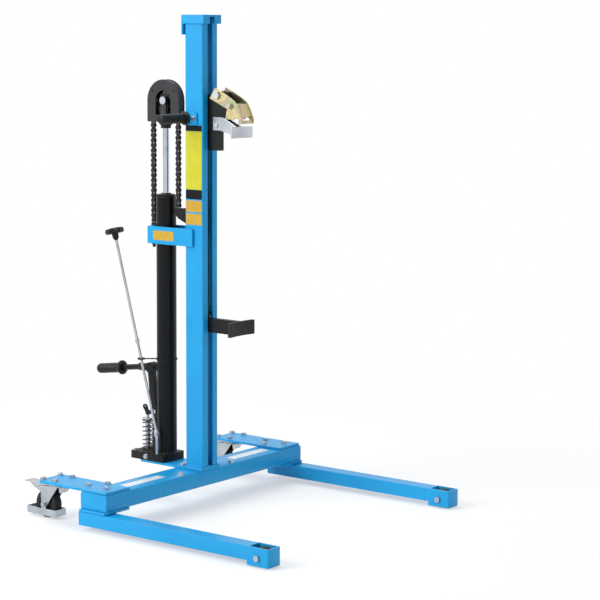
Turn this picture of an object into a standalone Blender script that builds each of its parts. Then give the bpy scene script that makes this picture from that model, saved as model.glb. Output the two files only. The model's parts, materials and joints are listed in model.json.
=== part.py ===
"""Hydraulic drum lifter with a chain-hoisted carriage and a two-jaw rim clamp.

Metres, +Z up, +X toward the drum, +Y to the operator's left. Sizes are measured from the
front face of the cross beam (X = 0), the mast's middle plane (Y = 0) and the floor (Z = 0).
The whole part is then moved along X so that its origin lies under the middle of its box.
"""
from math import atan2, ceil, cos, pi, radians, sin

import bmesh
import bpy
from mathutils import Matrix, Vector

# General fits
SEAT = 0.0003                # gap between pieces that touch
RUN = 0.0003                 # radial clearance of a turning bore
SIDE_PLAY = 0.0005           # end float of a turning piece

# Chassis
BEAM_DEPTH = 0.104
BEAM_HEIGHT = 0.050
BEAM_HALF_LENGTH = 0.468
BEAM_WALL = 0.004
LEG_OUTER_Y = 0.477
LEG_WIDTH = 0.055
LEG_HEIGHT = 0.042
LEG_FLOOR_GAP = 0.015
LEG_WALL = 0.004
LEG_FRONT = 0.613
TIP_BOX_LENGTH = 0.078
TIP_BOX_FLOOR_GAP = 0.004
TIP_BOX_WALL = 0.006
LEG_ROLLER_RADIUS = 0.027
LEG_ROLLER_WIDTH = 0.038
LEG_AXLE_RADIUS = 0.006
LEG_AXLE_SETBACK = 0.040     # from the leg's front end
PACKER_THICKNESS = 0.008
PACKER_INNER_Y = 0.365
PLATE_THICKNESS = 0.008
CASTER_PLATE_WIDTH = 0.107
CASTER_PLATE_REAR = 0.288
CASTER_PLATE_FRONT = -0.005
SHELF_HALF_WIDTH = 0.048
SHELF_REAR = 0.245
SHELF_FRONT_OVERHANG = 0.005
DRAIN_RADIUS = 0.004

# Casters
CASTER_Y = 0.412
CASTER_SETBACK = 0.252
CASTER_TRAIL = 0.038
CASTER_WHEEL_RADIUS = 0.043
CASTER_WHEEL_WIDTH = 0.030
CASTER_HUB_RADIUS = 0.012
CASTER_AXLE_RADIUS = 0.005
CASTER_SHEET = 0.003
CASTER_TOP_LENGTH = 0.070
CASTER_TOP_WIDTH = 0.096
CASTER_RACE_RADIUS = 0.027
CASTER_RACE_HEIGHT = 0.008
CASTER_PIN_RADIUS = 0.006
GUARD_LENGTH = 0.122
GUARD_HEIGHT = 0.021
GUARD_FLOOR_GAP = 0.009
GUARD_SETBACK = 0.072        # from the wheel's axle to the guard's rear
PEDAL_LENGTH = 0.050
PEDAL_WIDTH = 0.034
PEDAL_PIN_RADIUS = 0.003
PEDAL_PIVOT_SETBACK = 0.062  # from the swivel axis
PEDAL_PIVOT_DROP = 0.009     # below the fork's crown

# Mast
MAST_DEPTH = 0.071
MAST_FRONT = 0.005
MAST_HALF_WIDTH = 0.0356
MAST_WALL = 0.005
MAST_SLOT_HALF = 0.011
MAST_FOOT_THICKNESS = 0.005
MAST_FOOT_MARGIN = 0.008
CAP_TOP = 1.517
CAP_WALL = 0.006
CAP_SKIRT = 0.027
CAP_REAR_SKIRT = 0.060
CAP_SIDE_GAP = 0.0004
CAP_OVERHANG = 0.003

# Push handles
HANDLE_X = -0.060
HANDLE_Z = 1.205
HANDLE_TUBE_RADIUS = 0.011
HANDLE_REACH = 0.155
GRIP_RADIUS = 0.015
GRIP_FLANGE_RADIUS = 0.021
GRIP_FLANGE_THICKNESS = 0.006
GRIP_END = 0.004
HANDLE_PLATE = (0.062, 0.040, 0.005)

# Stay bracket between mast and cylinder
STAY_ARM = 0.008
STAY_BOTTOM = 0.813
STAY_HEIGHT = 0.054
STAY_FRONT = 0.031
STAY_REAR_PLATE = 0.008
STAY_CYLINDER_GAP = 0.0005

# Jack
JACK_X = -0.174
BLOCK_FRONT = 0.146
BLOCK_REAR = 0.2835
BLOCK_HALF_WIDTH = 0.0506
BLOCK_HEIGHT = 0.024
CYLINDER_RADIUS = 0.0312
CYLINDER_TOP = 0.959
CYLINDER_BORE = 0.020
CYLINDER_BORE_DEPTH = 0.470
GLAND_RADIUS = 0.0285
GLAND_HEIGHT = 0.006
GLAND_THREAD_DEPTH = 0.018
RAM_RADIUS = 0.010
RAM_BOTTOM = 0.700
PISTON_HEIGHT = 0.020

# Foot pump
PUMP_X = -0.255
SPRING_RADIUS = 0.018
SPRING_WIRE = 0.0040
SPRING_TURNS = 8
SPRING_HEIGHT = 0.096
SPRING_CAP = 0.004
PLUNGER_RADIUS = 0.008
PLUNGER_STUD_RADIUS = 0.005
PLUNGER_STUD = 0.010
PUMP_TOWER_X = -0.215
PUMP_TOWER_DEPTH = 0.018
PUMP_TOWER_HALF_WIDTH = 0.016
PUMP_TOWER_HEIGHT = 0.062
LEVER_PIVOT = (-0.215, 0.275)
LEVER_EAR_RADIUS = 0.009
LEVER_EAR_THICKNESS = 0.004
LEVER_PIN_RADIUS = 0.004
LEVER_HALF_THICKNESS = 0.008
LEVER_NOSE_RADIUS = 0.006
LEVER_KNEE = (-0.229, 0.308)
LEVER_HEAD = (-0.237, 0.413)
LEVER_EYE = (-0.266, 0.284)
LEVER_EYE_RADIUS = 0.008
LEVER_TUBE_RADIUS = 0.009
LEVER_TUBE_START = (-0.258, 0.4135)
LEVER_TUBE_END = (-0.452, 0.3868)
PEDAL_FLANGE = (-0.363, 0.3990)
PEDAL_FLANGE_RADIUS = 0.023
PEDAL_GRIP_RADIUS = 0.016
PEDAL_REAR = 0.467

# Lowering valve control
SPINDLE_X = -0.176
SPINDLE_Y = -0.045
SPINDLE_RADIUS = 0.005
KNUCKLE_Z = 0.209
KNUCKLE_EYE_RADIUS = 0.005
KNUCKLE_HOLE_RADIUS = 0.0030
KNUCKLE_PIN_RADIUS = 0.0022
KNUCKLE_TONGUE = 0.005
RELEASE_NECK = (-0.3325, -0.0600, 0.824)
RELEASE_ROD_RADIUS = 0.0045
RELEASE_KNOB_RADIUS = 0.031
RELEASE_KNOB_HEIGHT = 0.018
RELEASE_STEM_HEIGHT = 0.012
RELEASE_STEM_RADIUS = 0.010
GUIDE_Z = 0.447
GUIDE_WIRE = 0.0025
GUIDE_LOOP = 0.0068

# Lifting chain and head
CHAIN_PITCH = 0.015875
CHAIN_TEETH_EQUIVALENT = 20  # pitches once round the chain wheel
CHAIN_PLATE_HEIGHT = 0.0135
CHAIN_PLATE = 0.0030          # thickness of the plates on each side
CHAIN_INNER_HALF = 0.0038
CHAIN_ROLLER_RADIUS = 0.0050
HEAD_Z = 1.255
HEAD_PIN_RADIUS = 0.008
WHEEL_RIM_HALF = 0.0034
WHEEL_HUB_HALF = 0.0045
WHEEL_HUB_RADIUS = 0.016
WHEEL_WEB_HALF = 0.0022
WHEEL_HOLES = 5
WHEEL_HOLE_RADIUS = 0.0065
WHEEL_HOLE_CIRCLE = 0.030
WHEEL_HOLE_TURN = radians(34.6)
YOKE_BOTTOM = 1.170
YOKE_BLOCK_HEIGHT = 0.025
YOKE_CHEEK = 0.0040
YOKE_HALF_DEPTH = 0.018
GUARD_RADIUS = 0.063
GUARD_HALF_WIDTH = 0.0135
GUARD_SHEET = 0.0025
GUARD_BOTTOM = 1.189
GUARD_WINDOW_RADIUS = 0.031
GUARD_WINDOW_BOTTOM = 1.211
ANCHOR_Z = 0.8740
ANCHOR_BOLT_RADIUS = 0.005
ANCHOR_BOLT_BOTTOM = 0.797
CARRIAGE_CHAIN_Z = 0.9250

# Carriage
CARRIAGE_HALF = 0.009
CARRIAGE_BAR_FRONT = -0.010
CARRIAGE_BAR_REAR = -0.046
CARRIAGE_BOTTOM = 0.549
CARRIAGE_TOP = 1.276
BLADE_BOTTOM = 1.109
BLADE_REACH = 0.051
BLADE_STEP = 1.205
BLADE_TOP_REACH = 0.075
BLADE_SHOULDER = 1.262
REST_HEIGHT = 0.044
CHAIN_ARM_HEIGHT = 0.033
MAST_ROLLER_RADIUS = 0.030
MAST_ROLLER_WIDTH = 0.016
MAST_ROLLER_INNER_Y = 0.012
MAST_ROLLER_HIGH = 1.240
MAST_ROLLER_LOW = 0.580
ROLLER_AXLE_RADIUS = 0.008
ROLLER_COLLAR_RADIUS = 0.011
ROLLER_COLLAR = 0.0012

# Rim clamp and the drum it is made for
DRUM_AXIS_X = 0.420
DRUM_BODY_RADIUS = 0.2925
DRUM_RIM_RADIUS = 0.297
DRUM_RIM_TOP = 1.202
DRUM_RIM_DEPTH = 0.014
RIM_PLAY = 0.0015             # between the hook and the rim
JAW_PIVOT = (0.054, 1.277)
JAW_PIN_RADIUS = 0.008
JAW_PIN_HEAD_RADIUS = 0.013
JAW_PIN_HEAD = 0.007
JAW_PLATE_INNER = 0.024
JAW_PLATE = 0.004
JAW_BOSS_RADIUS = 0.0125
JAW_TIE = (0.106, 1.245)
JAW_TIE_RADIUS = 0.007
JAW_BRIDGE = 0.004
LOWER_JAW_CHEEK_INNER = 0.0093
LOWER_JAW_CHEEK = 0.0050
LOWER_JAW_BOLT = (0.041, 1.186)
LOWER_JAW_BOLT_RADIUS = 0.005
LOWER_JAW_REAR = 0.028
LOWER_JAW_BOTTOM = 1.170
LOWER_JAW_TOP = 1.210
LOWER_JAW_FACE_BOTTOM = 1.150
LOWER_JAW_FACE_TOP = 1.184
LOWER_JAW_FACE_HALF = 0.050
LOWER_JAW_FACE = 0.005
BODY_CLEARANCE = 0.0005      # between the clamp's faces and the drum body
REST_PAD_THICKNESS = 0.010
REST_PAD_HALF = 0.060

# Facets
ROUND = 16                   # turned pieces and bores that turn on a pin
FINE_ROUND = 20              # wheels and rollers
BOLT_ROUND = 12              # bolts, pins and the fixed holes they sit in

# Worked out from the sizes above
LEG_TOP = LEG_FLOOR_GAP + LEG_HEIGHT
BEAM_BOTTOM = LEG_TOP + SEAT + PACKER_THICKNESS + SEAT
BEAM_TOP = BEAM_BOTTOM + BEAM_HEIGHT
PLATE_BOTTOM = BEAM_TOP + SEAT
PLATE_TOP = PLATE_BOTTOM + PLATE_THICKNESS
MAST_BOTTOM = PLATE_TOP + MAST_FOOT_THICKNESS + SEAT
MAST_TOP = CAP_TOP - CAP_WALL - SEAT
MAST_REAR = MAST_FRONT - MAST_DEPTH
MAST_MID_X = MAST_FRONT - MAST_DEPTH / 2
BLOCK_BOTTOM = PLATE_TOP + SEAT
BLOCK_TOP = BLOCK_BOTTOM + BLOCK_HEIGHT
CYLINDER_BOTTOM = BLOCK_TOP + SEAT
SPRING_BOTTOM = BLOCK_TOP + SEAT
SPRING_TOP = SPRING_BOTTOM + SPRING_HEIGHT
CHAIN_RADIUS = CHAIN_PITCH / 2 / sin(pi / CHAIN_TEETH_EQUIVALENT)
CHAIN_REAR_X = JACK_X - CHAIN_RADIUS
CHAIN_FRONT_X = JACK_X + CHAIN_RADIUS
LEG_AXLE_X = LEG_FRONT - LEG_AXLE_SETBACK
LEG_MID_Y = LEG_OUTER_Y - LEG_WIDTH / 2
SHIFT_X = (PEDAL_REAR - LEG_FRONT) / 2


def paint(name, colour, roughness, metallic=0.0):
    """Principled material from a linear colour."""
    material = bpy.data.materials.new(name)
    material.use_nodes = True
    shader = material.node_tree.nodes["Principled BSDF"]
    shader.inputs["Base Color"].default_value = (*colour, 1.0)
    shader.inputs["Roughness"].default_value = roughness
    shader.inputs["Metallic"].default_value = metallic
    material.diffuse_color = (*colour, 1.0)
    return material


def loose_solid(bm):
    """Object of one closed mesh with its faces turned outward."""
    bmesh.ops.recalc_face_normals(bm, faces=bm.faces)
    mesh = bpy.data.meshes.new("solid")
    bm.to_mesh(mesh)
    bm.free()
    solid = bpy.data.objects.new("solid", mesh)
    bpy.context.scene.collection.objects.link(solid)
    return solid


def across(axis, u, v, height):
    """Point from two coordinates across an axis and one along it."""
    places = {"X": (height, u, v), "Y": (u, height, v), "Z": (u, v, height)}
    return Vector(places[axis])


def prism(outline, axis, low, high):
    """Outline across an axis, extruded along it from low to high."""
    bm = bmesh.new()
    lower = [bm.verts.new(across(axis, u, v, low)) for u, v in outline]
    upper = [bm.verts.new(across(axis, u, v, high)) for u, v in outline]
    bm.faces.new(lower)
    bm.faces.new(upper)
    for k in range(len(outline)):
        bm.faces.new((lower[k - 1], lower[k], upper[k], upper[k - 1]))
    return loose_solid(bm)


def turned(profile, axis, centre, steps=ROUND):
    """Closed profile of (radius, height) pairs turned about an axis through the centre."""
    bm = bmesh.new()
    rings = []
    for radius, height in profile:
        angles = [2 * pi * k / steps for k in range(steps if radius else 1)]
        spots = [across(axis, radius * cos(a), radius * sin(a), height) for a in angles]
        rings.append([bm.verts.new(spot + Vector(centre)) for spot in spots])
    for ring, following in zip(rings, rings[1:] + rings[:1]):
        if len(ring) == len(following) == 1:
            continue
        for k in range(steps):
            corners = (ring[k % len(ring)], ring[(k + 1) % len(ring)],
                       following[(k + 1) % len(following)], following[k % len(following)])
            bm.faces.new(dict.fromkeys(corners))
    return loose_solid(bm)


def disc(axis, u, v, radius, low, high, steps=ROUND):
    """Plain cylinder along an axis, centred at (u, v) across it."""
    profile = [(0, low), (radius, low), (radius, high), (0, high)]
    return turned(profile, axis, across(axis, u, v, 0), steps)


def ring_of(axis, u, v, outer, inner, low, high, steps=ROUND):
    """Tube along an axis, centred at (u, v) across it."""
    profile = [(inner, low), (outer, low), (outer, high), (inner, high)]
    return turned(profile, axis, across(axis, u, v, 0), steps)


def block(x, y, z):
    """Cuboid between pairs of limits."""
    outline = [(min(x), min(y)), (max(x), min(y)), (max(x), max(y)), (min(x), max(y))]
    return prism(outline, "Z", min(z), max(z))


def rounded(u, v, radius, steps=2):
    """Rectangle outline between pairs of limits, with round corners."""
    corners = [(max(u), max(v), 1, 1), (min(u), max(v), -1, 1),
               (min(u), min(v), -1, -1), (max(u), min(v), 1, -1)]
    outline = []
    for quarter, (cu, cv, du, dv) in enumerate(corners):
        for k in range(steps + 1):
            turn = pi / 2 * (quarter + k / steps)
            outline.append((cu - du * radius + radius * cos(turn),
                            cv - dv * radius + radius * sin(turn)))
    return outline


def arc(u, v, radius, start, end, steps):
    """Points on an arc from one angle to another, in degrees."""
    turns = [radians(start + (end - start) * k / steps) for k in range(steps + 1)]
    return [(u + radius * cos(turn), v + radius * sin(turn)) for turn in turns]


def aim(solid, start, toward):
    """Turn a solid built along +Z from the origin to point from one place to another."""
    start = Vector(start)
    heading = Vector((0, 0, 1)).rotation_difference(Vector(toward) - start)
    solid.data.transform(Matrix.Translation(start) @ heading.to_matrix().to_4x4())
    return solid


def stick(start, end, radius, steps=ROUND):
    """Round bar between two places."""
    length = (Vector(end) - Vector(start)).length
    return aim(disc("Z", 0, 0, radius, 0, length, steps), start, end)


def combine(base, tools, operation):
    """Exact boolean of one solid with others, which are used up."""
    group = bpy.data.collections.new("tools")
    for tool in tools:
        group.objects.link(tool)
    modifier = base.modifiers.new(operation.lower(), "BOOLEAN")
    modifier.operation = operation
    modifier.solver = "EXACT"
    modifier.operand_type = "COLLECTION"
    modifier.collection = group
    bpy.context.view_layer.update()
    shaped = base.evaluated_get(bpy.context.evaluated_depsgraph_get())
    mesh = bpy.data.meshes.new_from_object(shaped)
    base.modifiers.clear()
    base.data = mesh
    for tool in tools:
        bpy.data.objects.remove(tool)
    bpy.data.collections.remove(group)
    return base


def fuse(base, *others):
    """One solid from several that overlap."""
    return combine(base, others, "UNION")


def cut(base, *tools):
    """A solid with others cut out of it."""
    return combine(base, tools, "DIFFERENCE")


def carrier(name, place=(0, 0, 0), parent=None):
    """Empty on a joint's axis that carries the pieces of one moving body."""
    empty = bpy.data.objects.new(name, None)
    bpy.context.scene.collection.objects.link(empty)
    empty.parent = parent
    empty.location = Vector(place) - origin_of(parent)
    return empty


def origin_of(holder):
    """Where a carrier lies, measured in the root's own frame."""
    if holder is None or holder.parent is None:
        return Vector()
    return holder.location + origin_of(holder.parent)


def piece(name, solid, finish, holder, pivot=None):
    """Name and paint a solid, put its origin on its pivot and hang it on its carrier."""
    pivot = origin_of(holder) if pivot is None else Vector(pivot)
    solid.name = name
    solid.data.name = name
    solid.data.transform(Matrix.Translation(-pivot))
    solid.data.materials.clear()
    solid.data.materials.append(finish)
    solid.data.shade_smooth()
    solid.data.set_sharp_from_angle(angle=radians(32))
    solid.parent = holder
    solid.location = pivot - origin_of(holder)
    return solid


def make_cross_beam(root, blue):
    """Box-section beam with closed ends and a drain hole underneath."""
    depth = (-BEAM_DEPTH, 0)
    height = (BEAM_BOTTOM, BEAM_TOP)
    shell = prism(rounded(depth, height, BEAM_WALL), "Y", -BEAM_HALF_LENGTH, BEAM_HALF_LENGTH)
    inside = BEAM_HALF_LENGTH - BEAM_WALL
    hollow = block((-BEAM_DEPTH + BEAM_WALL, -BEAM_WALL), (-inside, inside),
                   (BEAM_BOTTOM + BEAM_WALL, BEAM_TOP - BEAM_WALL))
    drain = disc("Z", -BEAM_DEPTH / 2, 0, DRAIN_RADIUS, BEAM_BOTTOM - BEAM_WALL,
                 BEAM_BOTTOM + 2 * BEAM_WALL, 8)
    piece("cross_beam", cut(shell, hollow, drain), blue, root)


def make_leg(root, blue, side, name):
    """Straddle leg of box section with an open roller box at its tip."""
    width = (side * (LEG_OUTER_Y - LEG_WIDTH), side * LEG_OUTER_Y)
    inner = (side * (LEG_OUTER_Y - LEG_WIDTH + LEG_WALL), side * (LEG_OUTER_Y - LEG_WALL))
    box_rear = LEG_FRONT - TIP_BOX_LENGTH
    tube = prism(rounded(width, (LEG_FLOOR_GAP, LEG_TOP), LEG_WALL), "X",
                 -BEAM_DEPTH, box_rear + TIP_BOX_WALL)
    tip = prism(rounded((box_rear, LEG_FRONT), width, LEG_WALL), "Z", TIP_BOX_FLOOR_GAP, LEG_TOP)
    tube_hollow = block((-BEAM_DEPTH + LEG_WALL, box_rear - TIP_BOX_WALL), inner,
                        (LEG_FLOOR_GAP + LEG_WALL, LEG_TOP - LEG_WALL))
    roller_space = block((box_rear + TIP_BOX_WALL, LEG_FRONT - TIP_BOX_WALL),
                         (side * (LEG_OUTER_Y - LEG_WIDTH + TIP_BOX_WALL),
                          side * (LEG_OUTER_Y - TIP_BOX_WALL)),
                         (0, LEG_TOP + TIP_BOX_WALL))
    axle_hole = disc("Y", LEG_AXLE_X, LEG_ROLLER_RADIUS, LEG_AXLE_RADIUS + RUN,
                     side * LEG_MID_Y - LEG_WIDTH, side * LEG_MID_Y + LEG_WIDTH, BOLT_ROUND)
    drain = disc("Z", box_rear / 2, side * LEG_MID_Y, DRAIN_RADIUS, 0,
                 LEG_FLOOR_GAP + 2 * LEG_WALL, 8)
    leg = cut(fuse(tube, tip), tube_hollow, roller_space, axle_hole, drain)
    piece("leg_" + name, leg, blue, root)


def make_leg_axle(root, zinc, side, name):
    """Axle bolt with a hexagon head outside and a nut inside the leg."""
    middle = (LEG_AXLE_X, side * LEG_MID_Y, LEG_ROLLER_RADIUS)
    reach = LEG_WIDTH / 2 + SEAT
    head = LEG_AXLE_RADIUS
    shaft = disc("Y", middle[0], middle[2], LEG_AXLE_RADIUS, middle[1] - reach - head / 2,
                 middle[1] + reach + head / 2, BOLT_ROUND)
    ends = [turned([(0, way * reach), (1.6 * head, way * reach), (1.6 * head, way * (reach + head)),
                    (0, way * (reach + head))], "Y", middle, 6) for way in (-1, 1)]
    piece("leg_axle_" + name, fuse(shaft, *ends), zinc, root)


def make_leg_roller(root, rubber, side, name):
    """Load roller that turns on the leg's axle bolt."""
    middle = (LEG_AXLE_X, side * LEG_MID_Y, LEG_ROLLER_RADIUS)
    holder = carrier("leg_roller_axis_" + name, middle, root)
    bore = LEG_AXLE_RADIUS + RUN
    hub = LEG_WIDTH / 2 - TIP_BOX_WALL - SIDE_PLAY
    half = LEG_ROLLER_WIDTH / 2
    rim = LEG_ROLLER_RADIUS
    edge = 0.0015
    profile = [(bore, -hub), (2 * LEG_AXLE_RADIUS, -hub), (2 * LEG_AXLE_RADIUS, -half),
               (rim - edge, -half), (rim, -half + edge), (rim, half - edge), (rim - edge, half),
               (2 * LEG_AXLE_RADIUS, half), (2 * LEG_AXLE_RADIUS, hub), (bore, hub)]
    piece("leg_roller_" + name, turned(profile, "Y", middle, FINE_ROUND), rubber, holder)


def make_packer_plate(root, blue, side, name):
    """Plate between the leg and the beam."""
    outline = rounded((-BEAM_DEPTH, 0), (side * PACKER_INNER_Y, side * LEG_OUTER_Y), 0.003)
    bottom = LEG_TOP + SEAT
    plate = prism(outline, "Z", bottom, bottom + PACKER_THICKNESS)
    piece("packer_plate_" + name, plate, blue, root)


def make_caster_plate(root, blue, side, name):
    """Plate bolted on the beam that reaches back over the caster."""
    outer = side * (CASTER_Y + CASTER_PLATE_WIDTH / 2)
    inner = side * (CASTER_Y - CASTER_PLATE_WIDTH / 2)
    corner = 0.012
    rear = -CASTER_PLATE_REAR
    outline = [(CASTER_PLATE_FRONT, inner), (rear + corner, inner),
               (rear, inner + side * corner), (rear, outer - side * corner),
               (rear + corner, outer), (CASTER_PLATE_FRONT, outer)]
    plate = prism(outline, "Z", PLATE_BOTTOM, PLATE_TOP)
    piece("caster_plate_" + name, plate, blue, root)


def make_pump_shelf(root, blue):
    """Shelf on the beam with the mast's foot plate welded on it."""
    shelf = prism(rounded((-SHELF_REAR, SHELF_FRONT_OVERHANG),
                          (-SHELF_HALF_WIDTH, SHELF_HALF_WIDTH), 0.003),
                  "Z", PLATE_BOTTOM, PLATE_TOP)
    foot_side = MAST_HALF_WIDTH + MAST_FOOT_MARGIN
    foot = block((MAST_REAR + CAP_OVERHANG / 2, SHELF_FRONT_OVERHANG),
                 (-foot_side, foot_side),
                 (PLATE_TOP - PLATE_THICKNESS / 2, PLATE_TOP + MAST_FOOT_THICKNESS))
    piece("pump_shelf", fuse(shelf, foot), blue, root)


def caster_levels():
    """Heights of the caster's plate, race and fork crown, from the top down."""
    plate_top = PLATE_BOTTOM - SEAT
    plate_bottom = plate_top - CASTER_SHEET
    race_bottom = plate_bottom - CASTER_RACE_HEIGHT
    crown_top = race_bottom - SEAT
    crown_bottom = crown_top - CASTER_SHEET
    return plate_top, plate_bottom, race_bottom, crown_top, crown_bottom


def make_caster_top(root, zinc, side, name):
    """Fixed plate of a caster with its race and king pin."""
    plate_top, plate_bottom, race_bottom, crown_top, crown_bottom = caster_levels()
    y = side * CASTER_Y
    x = -CASTER_SETBACK
    half_length = CASTER_TOP_LENGTH / 2
    half_width = CASTER_TOP_WIDTH / 2
    plate = prism(rounded((x - half_length, x + half_length), (y - half_width, y + half_width),
                          0.008), "Z", plate_bottom, plate_top)
    pin_end = crown_bottom - 2 * SEAT - CASTER_SHEET
    race = CASTER_RACE_RADIUS
    profile = [(0, plate_top - SEAT), (race - 0.003, plate_top - SEAT), (race, plate_bottom),
               (race, race_bottom), (CASTER_PIN_RADIUS, race_bottom),
               (CASTER_PIN_RADIUS, crown_bottom - SEAT),
               (1.6 * CASTER_PIN_RADIUS, crown_bottom - SEAT),
               (1.6 * CASTER_PIN_RADIUS, pin_end), (0, pin_end)]
    piece("caster_top_plate_" + name, fuse(plate, turned(profile, "Z", (x, y, 0))), zinc, root)


def make_caster_fork(holder, zinc, name):
    """Pressed fork with its axle bolt, swivelling below the top plate."""
    crown_top, crown_bottom = caster_levels()[3:]
    x, y, _ = origin_of(holder)
    inside = CASTER_WHEEL_WIDTH / 2 + CASTER_SHEET
    outside = inside + CASTER_SHEET
    axle_x = x - CASTER_TRAIL
    axle_z = CASTER_WHEEL_RADIUS
    lobe = 0.012
    crown = prism(rounded((x - 0.052, x + 0.030), (y - outside, y + outside), 0.006), "Z",
                  crown_bottom, crown_top)
    race_seat = disc("Z", x, y, CASTER_RACE_RADIUS, crown_bottom + SEAT, crown_top - SEAT)
    outline = ([(x - 0.070, crown_top), (x - 0.070, crown_top - 0.016), (x - 0.052, 0.080)]
               + arc(axle_x, axle_z, lobe, 180, 350, 5) + [(x + 0.018, crown_top)])
    cheeks = [prism(outline, "Y", y + way * inside, y + way * outside) for way in (-1, 1)]
    lock_tab = prism([(x + 0.018, crown_top), (x + 0.042, crown_top - 0.002),
                      (x + 0.026, crown_top - 0.020), (x + 0.018, crown_top - 0.020)],
                     "Y", y - CASTER_RACE_RADIUS / 2, y + CASTER_RACE_RADIUS / 2)
    nut_face = outside + SEAT + CASTER_SHEET + SEAT
    shaft = disc("Y", axle_x, axle_z, CASTER_AXLE_RADIUS, y - nut_face - 0.004,
                 y + nut_face + 0.004, BOLT_ROUND)
    nuts = [disc("Y", axle_x, axle_z, 1.6 * CASTER_AXLE_RADIUS, y + way * nut_face,
                 y + way * (nut_face + 0.0045), 6) for way in (-1, 1)]
    body = fuse(crown, race_seat, lock_tab, *cheeks, shaft, *nuts)
    king_hole = disc("Z", x, y, CASTER_PIN_RADIUS + RUN, crown_bottom - 0.01, crown_top + 0.01)
    pedal_hole = disc("Y", x - PEDAL_PIVOT_SETBACK, crown_top - PEDAL_PIVOT_DROP,
                      PEDAL_PIN_RADIUS + RUN, y - 0.04, y + 0.04, BOLT_ROUND)
    piece("caster_fork_" + name, cut(body, king_hole, pedal_hole), zinc, holder)


def make_caster_guard(holder, zinc, name):
    """Toe guard: a strip round the wheel, hung on the axle bolt."""
    x, y, _ = origin_of(holder)
    inside = CASTER_WHEEL_WIDTH / 2 + 2 * CASTER_SHEET + SEAT
    outside = inside + CASTER_SHEET
    axle_x = x - CASTER_TRAIL
    axle_z = CASTER_WHEEL_RADIUS
    rear = axle_x - GUARD_SETBACK
    front = rear + GUARD_LENGTH
    low = GUARD_FLOOR_GAP
    high = GUARD_FLOOR_GAP + GUARD_HEIGHT
    strip = prism(rounded((rear, front), (y - outside, y + outside), 0.005), "Z", low, high)
    space = prism(rounded((rear + CASTER_SHEET, front - CASTER_SHEET), (y - inside, y + inside),
                          0.002), "Z", low - 0.01, high + 0.01)
    ear_half = 1.8 * CASTER_AXLE_RADIUS
    ear = ([(axle_x + ear_half, high - 0.006)] + arc(axle_x, axle_z, ear_half, 0, 180, 6)
           + [(axle_x - ear_half, high - 0.006)])
    ears = [prism(ear, "Y", y + way * inside, y + way * outside) for way in (-1, 1)]
    hole = disc("Y", axle_x, axle_z, CASTER_AXLE_RADIUS + RUN, y - 0.05, y + 0.05, BOLT_ROUND)
    piece("caster_guard_" + name, cut(fuse(cut(strip, space), *ears), hole), zinc, holder)


def make_caster_wheel(holder, rubber, name):
    """Wheel with a raised hub and a thinner web."""
    x, y, z = origin_of(holder)
    bore = CASTER_AXLE_RADIUS + RUN
    hub = CASTER_WHEEL_WIDTH / 2 + CASTER_SHEET - SEAT
    half = CASTER_WHEEL_WIDTH / 2
    rim = CASTER_WHEEL_RADIUS
    one_side = [(rim, 0.7 * half), (rim - 0.003, half), (rim - 0.010, half),
                (rim - 0.013, 0.5 * half), (CASTER_HUB_RADIUS, 0.6 * half),
                (CASTER_HUB_RADIUS, hub), (bore, hub)]
    profile = one_side + [(radius, -height) for radius, height in reversed(one_side)]
    piece("caster_wheel_" + name, turned(profile, "Y", (x, y, z), FINE_ROUND), rubber, holder)


def make_caster_pedal(holder, zinc, name):
    """Brake pedal on a pin through the rear of the fork."""
    x, y, z = origin_of(holder)
    cheek = CASTER_WHEEL_WIDTH / 2 + CASTER_SHEET
    half = PEDAL_WIDTH / 2
    pin = disc("Y", x, z, PEDAL_PIN_RADIUS, y - cheek - 0.0045, y + cheek + 0.0045, 8)
    hub = disc("Y", x, z, 0.006, y - cheek + SIDE_PLAY, y + cheek - SIDE_PLAY, 8)
    tread = [(x, z + 0.006), (x - 0.014, z + 0.008), (x - PEDAL_LENGTH, z + 0.0115),
             (x - PEDAL_LENGTH - 0.012, z + 0.010), (x - PEDAL_LENGTH - 0.012, z + 0.007),
             (x - PEDAL_LENGTH, z + 0.0085), (x - 0.014, z + 0.005), (x, z + 0.002)]
    skirt = [(x + 0.004, z + 0.003), (x - 0.014, z + 0.006), (x - 0.040, z + 0.009),
             (x - 0.022, z - 0.006), (x - 0.012, z - 0.009), (x, z - 0.005)]
    skirts = [prism(skirt, "Y", y + way * (half - 0.003), y + way * half) for way in (-1, 1)]
    body = fuse(pin, hub, prism(tread, "Y", y - half, y + half), *skirts)
    piece("caster_pedal_" + name, body, zinc, holder)


def make_caster(root, zinc, rubber, side, name):
    """Swivelling caster with wheel, toe guard and brake pedal."""
    crown_top = caster_levels()[3]
    x = -CASTER_SETBACK
    y = side * CASTER_Y
    make_caster_top(root, zinc, side, name)
    swivel = carrier("caster_swivel_" + name, (x, y, crown_top), root)
    axle = carrier("caster_axle_" + name, (x - CASTER_TRAIL, y, CASTER_WHEEL_RADIUS), swivel)
    brake = carrier("caster_brake_" + name,
                    (x - PEDAL_PIVOT_SETBACK, y, crown_top - PEDAL_PIVOT_DROP), swivel)
    make_caster_fork(swivel, zinc, name)
    make_caster_guard(swivel, zinc, name)
    make_caster_wheel(axle, rubber, name)
    make_caster_pedal(brake, zinc, name)


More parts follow.
